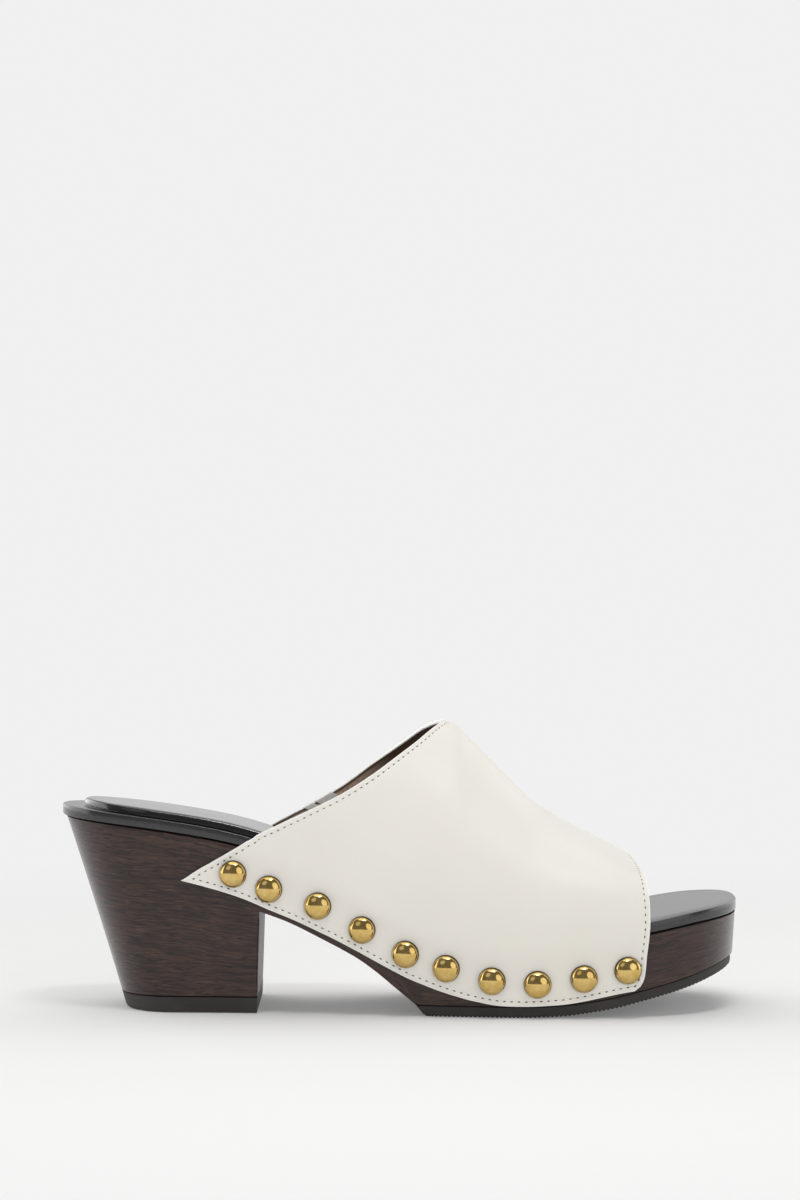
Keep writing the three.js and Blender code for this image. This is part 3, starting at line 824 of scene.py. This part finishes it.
def heelTopLift():
    thickness, radius = liftSizes["thickness"], liftSizes["edgeRadius"]
    breast, backEnd = unitSizes["breastAt"], 0.05
    fine = np.arange(backEnd, breast, treadSizes["step"] / last["length"])
    backStations = np.linspace(0, angleOf(backEnd), 24)[:-1]
    stations = np.concatenate([backStations, angleOf(fine), [angleOf(breast)]])

    def rails(height, inset):
        return bothSides(lambda side: heelPoint(side, stations, stations * 0 + height, inset))

    edge = rounding(radius)
    levels = [rails(thickness, 0.0), rails(thickness * 0.6, 0.0)]
    levels += [rails(d, i) for i, d in reversed(edge)]
    treads = [False, False] + [d < radius * 0.2 for i, d in reversed(edge)]
    return layered(levels, stations, treads)


rubber = mouldedRubber()
grooves = treadTree()
rubberPiece("forepart_outsole_moulded", forepartOutsole(), "forepart_outsole", rubber, grooves)
rubberPiece("heel_top_lift_moulded", heelTopLift(), "heel_top_lift", rubber, grooves)
print("Rubber outsole and heel lift made")


# Insole pad

padSizes = dict(
    thickness=2.1,
    tilt=1.2,  # how much thicker its outer side is than its inner
    crown=0.1,
    sideInset=3,
    backInset=7.7,
    frontAt=0.79,
    roll=1.8,
    squareness=2.3,
    backFall=0.24,  # share that it is thinner by at its back end
    lift=0.05,
)
padLook = dict(colour="0b0b0c", light="141415", grain=0.7, relief=0.012, sheer=0.16, dull=0.26, coat=0.6,
               coatRoughness=0.06, clouds=60)  # clouds a metre


def polishedLeather():
    # Finished calf over foam: black, close grain, a polished top that mirrors softly
    made, tree, shader = newMaterial("black finished calf", padLook["colour"], padLook["dull"],
                                     Coat_Weight=padLook["coat"], Coat_Roughness=padLook["coatRoughness"])
    place = placeOn(tree)
    cells = addNode(tree, "ShaderNodeTexVoronoi", {"Vector": place, "Scale": 1 / (padLook["grain"] * mm)})
    cloud = noise(tree, place, padLook["clouds"], 4.0)
    colourWith(tree, shader, blend(tree, cloud, padLook["colour"], padLook["light"]))
    rough = ramp(tree, cloud, 0, 1, padLook["sheer"], padLook["dull"])
    tree.links.new(rough, shader.inputs["Roughness"])
    addBump(tree, shader, cells.outputs["Distance"], padLook["relief"])
    return made


def insolePad():
    skin, across = Skin(), 40
    stations = np.linspace(0, angleOf(padSizes["frontAt"]), 150)
    at = shareOf(stations)
    margin = mix(padSizes["backInset"], padSizes["sideInset"], np.minimum(1, at / heelEnd["reach"]))
    seat = last["seam"] + padSizes["lift"]

    def rail(side, rise, inset):
        plan = outline(side, stations, margin + inset)
        height = rise * (padSizes["thickness"] - padSizes["tilt"] * plan[:, 1] / last["heelWidth"])
        height = height * (1 - padSizes["backFall"] * (1 - smooth(at, 0, heelEnd["reach"])))
        return np.concatenate([plan, (boardTop(at) + seat + height)[:, None]], -1)

    power = 2 / padSizes["squareness"]
    levels = []
    for turn in np.linspace(math.pi / 2, 0, 17):
        inset = padSizes["roll"] * (1 - max(0, math.cos(turn)) ** power)
        levels.append([rail(side, math.sin(turn) ** power, inset) for side in sign])
    top = ladder(levels[0][0], levels[0][1], across)
    t = np.linspace(0, 1, across + 1)
    width = np.linalg.norm(top[:, -1] - top[:, 0], axis=-1)
    top[..., 2] += padSizes["crown"] * 4 * (t * (1 - t))[None] * width[:, None] / last["heelWidth"]
    skin.grid(top)
    skin.grid(ladder(levels[-1][0], levels[-1][1], across))
    for i in (0, 1):
        skin.grid(np.stack([rails[i] for rails in levels]))
    for end in (0, -1):
        ends = [ladder(left[end:][:1], right[end:][:1], across)[0] for left, right in levels[1:]]
        skin.grid(np.stack([top[end]] + ends))
    return skin.mesh("insole_pad_leather", sharpAngle=60)


pad = addPiece("insole_pad_leather", insolePad(), ["insole_pad"], [polishedLeather()])
print("Insole pad made")


# Upper

upperSizes = dict(wall=1.8, instepHeight=68.9, toeBoxHeight=18, sideDepth=24, ridgeShift=5, seatLevel=0.3)
edgeSizes = dict(rim=0.45, stitchInset=1.75, troughDepth=0.16, troughWidth=0.55)
studSizes = dict(diameter=9.6, height=3.4, rim=0.5, sunk=0.35, dent=0.12, dentWidth=1.1)
leatherLook = dict(colour="ede9e1", shade="e9e5db", roughness=0.46, coat=0.12, coatRoughness=0.35,
                   pore=0.55, grains=2.5, clouds=22, relief=0.015)  # grains a millimetre, clouds a metre
edgeLook = dict(colour="f6f4f0", roughness=0.38, grains=1.2, relief=0.02)
# The lining's colours, the levels between which one changes to the next, and the millimetres below the rim
# where it darkens; the high colour is painted shade, toward the instep and just below the rim
liningLook = dict(low="f0ddca", middle="d6baa3", high="4a3726", dark="5a4733", speck=0.5, relief=0.08,
                  toMiddle=(0.36, 0.44), toInstepShade=(0.5, 0.68), toRimShade=(1.7, 1.0))
foldSizes = dict(fade=7, ridge=(0.34, 9), trough=(-0.3, 8), dimple=(-0.2, 6))  # each one's lift and width

# The leather's soft folds: their height above the floor along the shoe, and their strength
folds = dict(
    ridge=tableOf("at height share", [
        (0.25, 69, 0), (0.321, 69.4, 1), (0.421, 71.1, 1), (0.486, 63.2, 0.8), (0.586, 49.5, 0.8),
        (0.65, 41.5, 0.9), (0.836, 39.2, 0.9)]),
    trough=tableOf("at height share", [
        (0.29, 60, 0), (0.357, 57, 1), (0.43, 50, 1), (0.5, 41.5, 1), (0.6, 31, 1), (0.729, 27.4, 1),
        (0.843, 31, 0.8)]),
    dimple=tableOf("at height share", [(0.55, 91, 0), (0.58, 86, 1), (0.6, 81, 1), (0.63, 75, 0)]),
)

sections = tableOf("at height side crown edge", [
    (0.181, 0.7, 0.62, 0.52, 0.825),
    (0.27, 0.76, 0.62, 0.52, 0.9),
    (0.32, 0.81, 0.6, 0.52, 0.948),
    (0.379, 0.865, 0.58, 0.52, 0.953),
    (0.433, 0.93, 0.56, 0.5, 0.932),
    (0.5, 0.975, 0.54, 0.46, 0.922),
    (0.542, 0.998, 0.53, 0.43, 0.91),
    (0.577, 0.984, 0.53, 0.43, 0.922),
    (0.605, 0.884, 0.54, 0.44, 0.945),
    (0.637, 0.743, 0.56, 0.47, 0.975),
    (0.67, 0.586, 0.58, 0.51, 0.99),
    (0.692, 0.483, 0.6, 0.54, 0.998),
    (0.724, 0.373, 0.63, 0.58, 1),
    (0.757, 0.269, 0.67, 0.62, 0.99),
    (0.789, 0.174, 0.71, 0.66, 0.965),
    (0.822, 0.074, 0.75, 0.7, 0.945),
    (0.844, 0, 0.78, 0.72, 0.943),
    (0.862, -0.03, 0.79, 0.72, 0.94),
])
cuts = tableOf("level lateral medial toe", [
    (0, 0.183, 0.183, 0.836),
    (0.02, 0.19, 0.19, 0.845),
    (0.06, 0.202, 0.203, 0.8505),
    (0.15, 0.2335, 0.236, 0.853),
    (0.25, 0.2685, 0.276, 0.856),
    (0.3, 0.2865, 0.297, 0.857),
    (0.35, 0.322, 0.3295, 0.857),
    (0.4, 0.357, 0.362, 0.857),
    (0.5, 0.417, 0.415, 0.856),
    (0.6, 0.463, 0.456, 0.855),
    (0.7, 0.5, 0.4925, 0.853),
    (0.8, 0.532, 0.5225, 0.85),
    (0.9, 0.553, 0.547, 0.847),
    (0.96, 0.561, 0.557, 0.845),
    (1, 0.5635, 0.5635, 0.844),
])
studTable = tableOf("at height", [
    (0.259, 0.312),
    (0.311, 0.304),
    (0.382, 0.371),
    (0.446, 0.354),
    (0.5085, 0.339),
    (0.567, 0.363),
    (0.632, 0.348),
    (0.6965, 0.32),
    (0.763, 0.33),
    (0.8255, 0.321),
])
section = {name: curve(sections, name) for name in ("height", "side", "crown", "edge")}
collarAt = {side: curve(cuts, side, "level") for side in sign}
toeAt = curve(cuts, "toe", "level")
seatLevel = upperSizes["seatLevel"]


def liningPoint(side, at, level):
    at, level = np.broadcast_arrays(at, level)
    top, angle = boardTop(at), angleOf(at)
    under = boardSizes["thickness"]
    drop = np.maximum(0, 1 - level / seatLevel) * section["edge"](at) * upperSizes["sideDepth"]
    tucked = boardSizes["overhang"] * smooth(drop, under, 3 * under)
    hung = outline(side, angle, tucked + np.maximum(0, drop - under) * draft - last["seam"])
    hung = np.concatenate([hung, (top - drop)[..., None]], -1)
    foot = outline(side, angle, -last["seam"])
    t = np.maximum(0, (level - seatLevel) / (1 - seatLevel))
    height = mix(upperSizes["toeBoxHeight"], upperSizes["instepHeight"], section["height"](at))
    shoulder = mix(upperSizes["ridgeShift"], foot[..., 1], section["crown"](at))
    x, z = at * last["length"], top + height
    posts = [
        (foot[..., 0], foot[..., 1], top),
        (foot[..., 0], foot[..., 1], top + section["side"](at) * height),
        (x, shoulder, z),
        (x, x * 0 + upperSizes["ridgeShift"], z),
    ]
    weights = [(1 - t) ** 3, 3 * (1 - t) ** 2 * t, 3 * (1 - t) * t ** 2, t ** 3]
    rib = sum(w[..., None] * np.stack(p, -1) for w, p in zip(weights, posts))
    return np.where((level < seatLevel)[..., None], hung, rib)


def slopes(side, at, level, nudge=1e-4):  # the way along the leather and the way up it
    along = liningPoint(side, at + nudge, level) - liningPoint(side, at - nudge, level)
    up = liningPoint(side, at, level + nudge) - liningPoint(side, at, level - nudge)
    return along / (2 * nudge), up / (2 * nudge)


def leatherNormal(side, at, level):
    along, up = slopes(side, at, level)
    return unitVector(np.cross(along, up)) * -sign[side]


def cutWay(side, at, level, border):  # millimetres from a cut for each share along the shoe
    along, up = slopes(side, at, level)
    nudge = 1e-3
    turn = (border(np.minimum(1, level + nudge)) - border(np.maximum(0, level - nudge))) / (2 * nudge)
    tangent = unitVector(along * np.asarray(turn)[..., None] + up)
    return np.linalg.norm(np.cross(along, tangent), axis=-1)


def lowerWay(side, at):  # millimetres from the lower edge for each level
    along, up = slopes(side, at, at * 0)
    return np.linalg.norm(np.cross(up, unitVector(along)), axis=-1)


def insetFromCollar(side, level, inset):
    at = collarAt[side](level)
    return at + inset / cutWay(side, at, level, collarAt[side])


def insetFromToe(side, level, inset):
    at = toeAt(level)
    return at - inset / cutWay(side, at, level, toeAt)


studSeats = []
for side in sign:
    level = seatLevel * studTable["height"] / section["edge"](studTable["at"])
    facing = leatherNormal(side, studTable["at"], level)
    seat = liningPoint(side, studTable["at"], level) + facing * upperSizes["wall"]
    studSeats.append((seat, facing))
studPoints = np.concatenate([seat for seat, facing in studSeats])
studFacings = np.concatenate([facing for seat, facing in studSeats])


def foldLift(points, edge):  # how far the soft folds lift the leather
    at, height = points[..., 0] / last["length"], points[..., 2]
    lift = np.zeros(edge.shape)
    for name, table in folds.items():
        most, width = foldSizes[name]
        off = (height - curve(table, "height")(at)) / width
        share = curve(table, "share")(at) * ((at > table["at"][0]) & (at < table["at"][-1] + 0.03))
        lift += most * share * np.exp(-off ** 2)
    return lift * smooth(edge, 1, foldSizes["fade"])


def rimFall(edge):  # how far a face falls back where the cut edges are rounded
    rim = edgeSizes["rim"]
    return rim - np.sqrt(np.maximum(0, rim ** 2 - np.maximum(0, rim - edge) ** 2))


def leatherRelief(points, edge):  # how far the leather lies below its plain form
    off = (edge - edgeSizes["stitchInset"]) / edgeSizes["troughWidth"]
    trough = edgeSizes["troughDepth"] * np.exp(-off ** 2)
    dents = np.zeros(edge.shape)
    for stud in studPoints:
        past = np.linalg.norm(points - stud, axis=-1) - studSizes["diameter"] / 2
        dents = np.maximum(dents, np.exp(-(np.maximum(0, past) / studSizes["dentWidth"]) ** 2))
    return rimFall(edge) + trough + studSizes["dent"] * dents - foldLift(points, edge)


edgeSteps = np.array([0, 0.03, 0.11, 0.24, 0.45, 0.8, 1.15, 1.45, 1.75, 2.05, 2.4, 2.9, 3.6])


def sheetGrid(side):  # places of the sheet's points: rows from collar to toe, columns up the levels
    perLevel = upperSizes["sideDepth"] / seatLevel
    low = edgeSteps / perLevel
    levels = np.concatenate([low, np.linspace(low[-1], seatLevel, 14)[1:]])
    levels = np.concatenate([levels, np.linspace(seatLevel, 1, 58)[1:]])
    collar, toe = collarAt[side](levels), toeAt(levels)
    collarWay, toeWay = cutWay(side, collar, levels, collarAt[side]), cutWay(side, toe, levels, toeAt)
    fromCollar = collar + edgeSteps[:, None] / collarWay
    fromToe = toe - edgeSteps[:, None] / toeWay
    middle = mix(fromCollar[-1:], fromToe[-1:], np.linspace(0, 1, 72)[1:-1, None])
    at = np.concatenate([fromCollar, middle, fromToe[::-1]])
    level = np.broadcast_to(levels[None], at.shape)
    edge = np.minimum((at - collar) * collarWay, (toe - at) * toeWay)
    return at, level, np.maximum(0, np.minimum(edge, level * lowerWay(side, at)))


def upperSkin():
    skin = Skin()
    outer, inner, edges, rises = [], [], [], []
    for side in sign:
        at, level, edge = sheetGrid(side)
        lining = liningPoint(side, at, level)
        normal = leatherNormal(side, at, level)
        relief = leatherRelief(lining + normal * upperSizes["wall"], edge)
        outer.append(lining + normal * (upperSizes["wall"] - relief)[..., None])
        inner.append(lining + normal * rimFall(edge)[..., None])
        edges.append(edge)
        rises.append(level)
    outer, inner, edge, rise = (
        np.concatenate([near, far[:, ::-1][:, 1:]], 1) for near, far in (outer, inner, edges, rises))
    acrossRows = np.maximum(edge[:-1], edge[1:])
    farthest = np.maximum(acrossRows[:, :-1], acrossRows[:, 1:])
    painted = farthest <= edgeSizes["rim"] + 0.05
    values = np.stack([edge, rise, edge * 0], -1)
    skin.grid(outer, np.where(painted, 1, 0), values)
    skin.grid(inner, np.where(painted, 1, 2), values)
    for end in (0, -1):
        skin.grid(np.stack([outer[end], inner[end]]), 1)
        skin.grid(np.stack([outer[:, end], inner[:, end]]), 1)
    return skin.mesh("upper_leather", "edgeWay", 50)


def smoothLeather():
    # Full-grain calf with a pigment finish: warm white, fine pores, soft low gloss
    look = leatherLook
    made, tree, shader = newMaterial("white pigmented calf", look["colour"], look["roughness"],
                                     Coat_Weight=look["coat"], Coat_Roughness=look["coatRoughness"])
    place = placeOn(tree)
    cells = addNode(tree, "ShaderNodeTexVoronoi", {"Vector": place, "Scale": 1 / (look["pore"] * mm)})
    fine = noise(tree, place, look["grains"] / mm)
    patch = ramp(tree, noise(tree, place, look["clouds"], 3.0), 0.35, 0.7)
    colourWith(tree, shader, blend(tree, patch, look["colour"], look["shade"]))
    addBump(tree, shader, maths(tree, "ADD", cells.outputs["Distance"], fine), look["relief"])
    return made


def paintedEdge():
    # Cut leather edge under several coats of edge paint: clean bright white, slightly glossy
    made, tree, shader = newMaterial("painted leather edge", edgeLook["colour"], edgeLook["roughness"])
    addBump(tree, shader, noise(tree, placeOn(tree), edgeLook["grains"] / mm), edgeLook["relief"])
    return made


def suedeLining():
    # Split-leather lining with its nap inside: speckled, matt, pale taupe low down; its darkening toward
    # the instep and just below the rim is painted shade
    look = liningLook
    made, tree, shader = newMaterial("taupe suede lining", look["middle"], 0.9, Sheen_Weight=0.2)
    speck = noise(tree, placeOn(tree), 0.7 / (look["speck"] * mm), 3.0)
    way = addNode(tree, "ShaderNodeAttribute", attribute_name="edgeWay").outputs["Vector"]
    axes = addNode(tree, "ShaderNodeSeparateXYZ", {0: way}).outputs
    tone = blend(tree, softRamp(tree, axes["Y"], *look["toMiddle"]), look["low"], look["middle"])
    # painted shade: darker toward the instep, inside the shoe
    tone = blend(tree, softRamp(tree, axes["Y"], *look["toInstepShade"]), tone, look["high"])
    dots = softRamp(tree, ramp(tree, speck, 0.32, 0.68), 1, 0, 0, 0.45)
    tone = blend(tree, dots, tone, look["dark"])
    # painted shade: a dark band just below the rim
    tone = blend(tree, softRamp(tree, axes["X"], *look["toRimShade"], 0, 0.85), tone, look["high"])
    colourWith(tree, shader, tone)
    addBump(tree, shader, speck, look["relief"])
    return made


addPiece("upper_leather", upperSkin(), ["upper"],
         [smoothLeather(), paintedEdge(), suedeLining()])
print("Upper made")


# Blank tape loop that wraps the inner side's collar

tapeSizes = dict(low=0.385, high=0.46, fold=0.4115, gap=0.0035, depth=9, bendFrom=0.5, bendRadius=0.3,
                 outside=0.9, thickness=0.3, lift=0.06)
tapeLook = dict(colour="fbfaf7", rib="efede8", pitch=0.45, relief=0.06, roughness=0.85, sheen=0.2)


def cottonTape():
    # Woven cotton tape: matt white with fine ribs across it
    look = tapeLook
    made, tree, shader = newMaterial("white woven cotton tape", look["colour"], look["roughness"],
                                     Sheen_Weight=look["sheen"])
    scale = 0.31 / (look["pitch"] * mm)
    ribs = addNode(tree, "ShaderNodeTexWave", {
        "Vector": placeOn(tree), "Scale": scale, "Distortion": 0.6, "Detail": 1.0}).outputs[1]
    colourWith(tree, shader, blend(tree, ribs, look["rib"], look["colour"]))
    addBump(tree, shader, ribs, look["relief"])
    return made


def tapeStrip(low, high):  # from inside the lining, over the collar's edge and a little way down outside
    levels = np.linspace(low, high, 9)
    wall, lift = upperSizes["wall"], tapeSizes["lift"]
    bend, middle = tapeSizes["bendRadius"], upperSizes["wall"] / 2
    turns = np.linspace(0, math.pi, 9)

    def path(off):  # places as (way in from the edge, height over the lining)
        inside = [(way, -off) for way in np.linspace(tapeSizes["depth"], tapeSizes["bendFrom"], 8)]
        over = [(bend - (bend + off) * math.sin(t), middle - (middle + off) * math.cos(t)) for t in turns]
        return inside + over + [(tapeSizes["outside"], wall + off)]

    def sheet(off):
        rows = []
        for way, height in path(off):
            at = insetFromCollar("medial", levels, way)
            normal = leatherNormal("medial", at, levels)
            rows.append(liningPoint("medial", at, levels) + normal * height)
        return np.stack(rows)

    return sheet(lift), sheet(lift + tapeSizes["thickness"])


def collarTape():
    skin = Skin()
    fold, gap = tapeSizes["fold"], tapeSizes["gap"]
    for low, high in ((tapeSizes["low"], fold - gap), (fold + gap, tapeSizes["high"])):
        under, over = tapeStrip(low, high)
        skin.grid(under)
        skin.grid(over)
        for end in (0, -1):
            skin.grid(np.stack([under[end], over[end]]))
            skin.grid(np.stack([under[:, end], over[:, end]]))
    return skin.mesh("collar_tape", sharpAngle=50)


addPiece("collar_tape", collarTape(), [], [cottonTape()])
print("Collar tape made")


# Stitching

stitchSizes = dict(pitch=2.5, inset=edgeSizes["stitchInset"], points=240)
threadSizes = dict(shift=(1.25, 0, 0.02), size=(0.725, 0.17, 0.17))
holeSizes = dict(shift=(0, 0, 0), size=(0.525, 0.23, 0.06))
threadLook = dict(colour="eeebe4", roughness=0.55, twists=4, relief=0.03)  # twists a millimetre
holeLook = dict(colour="2a2622", dark="181512", fibre="3c3731", roughness=0.9, grains=3)  # a millimetre


def beadTree():  # small beads along a line on the leather, each turned with it
    tree, given = newTree("beads along a seam", Pitch="Float", Shift="Vector", Size="Vector")
    line = addNode(tree, "GeometryNodeMeshToCurve", {"Mesh": given["Geometry"]})
    spaced = addNode(tree, "GeometryNodeResampleCurve", {"Curve": line, "Length": given["Pitch"]},
                     mode="LENGTH")
    facing = addNode(tree, "GeometryNodeInputNamedAttribute", {"Name": "facing"}, data_type="FLOAT_VECTOR")
    along = addNode(tree, "GeometryNodeInputTangent")
    turned = addNode(tree, "FunctionNodeAxesToRotation", {
        0: facing.outputs["Attribute"], 1: along}, primary_axis="Z", secondary_axis="X")
    ball = addNode(tree, "GeometryNodeMeshUVSphere", {"Segments": 8, "Rings": 5, "Radius": 1.0})
    smoothBall = addNode(tree, "GeometryNodeSetShadeSmooth", {"Geometry": ball.outputs["Mesh"]})
    bead = addNode(tree, "GeometryNodeTransform", {
        "Geometry": smoothBall, "Translation": given["Shift"], "Scale": given["Size"]})
    beads = addNode(tree, "GeometryNodeInstanceOnPoints", {
        "Points": spaced, "Instance": bead, "Rotation": turned})
    return endTree(tree, beads, given["Material"])


def seamLine():  # the stitched line: round the collar, along both lower edges and round the toe
    inset, count = stitchSizes["inset"], stitchSizes["points"]
    lines, ends = [], {side: [] for side in sign}
    for border, near in ((insetFromCollar, 0.2), (insetFromToe, 0.83)):
        halves = []
        for side in sign:
            level = np.linspace((inset / lowerWay(side, np.array([near])))[0], 1, count)
            at = border(side, level, inset)
            ends[side].append(at[0])
            halves.append((side, at, level))
        halves[1] = (side, at[::-1][1:], level[::-1][1:])
        lines.append(halves)
    for side in sign:
        at = np.linspace(*ends[side], count)
        lines.append([(side, at, inset / lowerWay(side, at))])
    points, facings, edges = [], [], []
    depth = upperSizes["wall"] - edgeSizes["troughDepth"]
    for parts in lines:
        first = sum(len(p) for p in points)
        for side, at, level in parts:
            normal = leatherNormal(side, at, level)
            points.append(liningPoint(side, at, level) + normal * depth)
            facings.append(normal)
        total = sum(len(p) for p in points)
        edges += [(i, i + 1) for i in range(first, total - 1)]
    return facingMesh("seam_line", np.concatenate(points), np.concatenate(facings), edges)


def wovenThread():
    # Bonded nylon thread in the leather's own white
    made, tree, shader = newMaterial("white bonded thread", threadLook["colour"], threadLook["roughness"])
    addBump(tree, shader, noise(tree, placeOn(tree), threadLook["twists"] / mm), threadLook["relief"])
    return made


def needleHole():
    # Punched hole in the leather, in its own shadow
    made, tree, shader = newMaterial("needle hole", holeLook["colour"], holeLook["roughness"])
    fray = noise(tree, placeOn(tree), holeLook["grains"] / mm)
    colourWith(tree, shader, blend(tree, fray, holeLook["dark"], holeLook["fibre"]))
    return made


def stitched(name, beads, sizes, material):
    mesh = bakeNodes(name, seamLine(), beads, {
        "Pitch": stitchSizes["pitch"] * mm, "Shift": Vector(sizes["shift"]) * mm,
        "Size": Vector(sizes["size"]) * mm, "Material": material})
    addPiece(name, mesh, [], [])


beads = beadTree()
stitched("stitch_thread", beads, threadSizes, wovenThread())
stitched("stitch_holes", beads, holeSizes, needleHole())
print("Stitching made")


# Studs

# footShade is painted shade, darkening the dome near its foot
brassLook = dict(colour="d3b064", pale="e3c684", footShade="2e1d08", roughness=0.12, relief=0.008,
                 blots=0.5, sheer=0.06, dull=0.16, rimFrom=0.4, rimTo=0.24)  # blots a millimetre


def studTree():  # a domed head, closed and flat underneath, on each seat
    tree, given = newTree("domed studs", Radius="Float", Height="Float", Rim="Float")
    ball = addNode(tree, "GeometryNodeMeshUVSphere", {
        "Segments": 48, "Rings": 32, "Radius": given["Radius"]})
    place = addNode(tree, "GeometryNodeInputPosition")
    axes = addNode(tree, "ShaderNodeSeparateXYZ", {0: place}).outputs
    share = maths(tree, "DIVIDE", axes["Z"], given["Radius"])
    domed = maths(tree, "ADD", maths(tree, "MULTIPLY", share, given["Height"]), given["Rim"])
    height = maths(tree, "MULTIPLY", domed, maths(tree, "GREATER_THAN", share, -0.001))
    moved = addNode(tree, "ShaderNodeCombineXYZ", {"X": axes["X"], "Y": axes["Y"], "Z": height})
    smoothBall = addNode(tree, "GeometryNodeSetShadeSmooth", {"Geometry": ball.outputs["Mesh"]})
    # the height share marks where the painted shade at the dome's foot goes
    marked = addNode(tree, "GeometryNodeStoreNamedAttribute", {
        "Geometry": smoothBall, "Name": "rise", "Value": share}, data_type="FLOAT", domain="POINT")
    head = addNode(tree, "GeometryNodeSetPosition", {"Geometry": marked, "Position": moved})
    facing = addNode(tree, "GeometryNodeInputNamedAttribute", {"Name": "facing"}, data_type="FLOAT_VECTOR")
    turned = addNode(tree, "FunctionNodeAlignRotationToVector", {
        "Vector": facing.outputs["Attribute"]}, axis="Z")
    heads = addNode(tree, "GeometryNodeInstanceOnPoints", {
        "Points": given["Geometry"], "Instance": head, "Rotation": turned})
    return endTree(tree, heads, given["Material"])


def antiqueBrass():
    # Brass-plated steel, antiqued and lacquered: deep gold with a clouded patina, and painted shade
    # darkening the dome near its foot
    look = brassLook
    made, tree, shader = newMaterial("antiqued brass plate", look["colour"], look["roughness"],
                                     Metallic=1.0)
    cloud = noise(tree, placeOn(tree), look["blots"] / mm, 4.0, 0.6)
    tone = blend(tree, ramp(tree, cloud, 0.35, 0.7), look["colour"], look["pale"])
    rise = addNode(tree, "ShaderNodeAttribute", attribute_name="rise").outputs["Fac"]
    # painted shade: the dome's lower part, near its foot on the leather, is darkened
    tone = blend(tree, softRamp(tree, rise, look["rimFrom"], look["rimTo"]), tone, look["footShade"])
    colourWith(tree, shader, tone)
    rough = ramp(tree, cloud, 0, 1, look["sheer"], look["dull"])
    tree.links.new(rough, shader.inputs["Roughness"])
    addBump(tree, shader, cloud, look["relief"])
    return made


def studs():
    seats = facingMesh("stud_seats", studPoints - studFacings * studSizes["sunk"], studFacings)
    return bakeNodes("studs_brass", seats, studTree(), {
        "Radius": studSizes["diameter"] / 2 * mm, "Height": studSizes["height"] * mm,
        "Rim": studSizes["rim"] * mm, "Material": antiqueBrass()})


studNodes = [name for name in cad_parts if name.startswith("stud_")]
addPiece("studs_brass", studs(), studNodes, [])
print("Studs made")

boxes = [[list(corner) for corner in box] for box in (cadBox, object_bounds())]
dict(cad=boxes[0], visual=boxes[1])
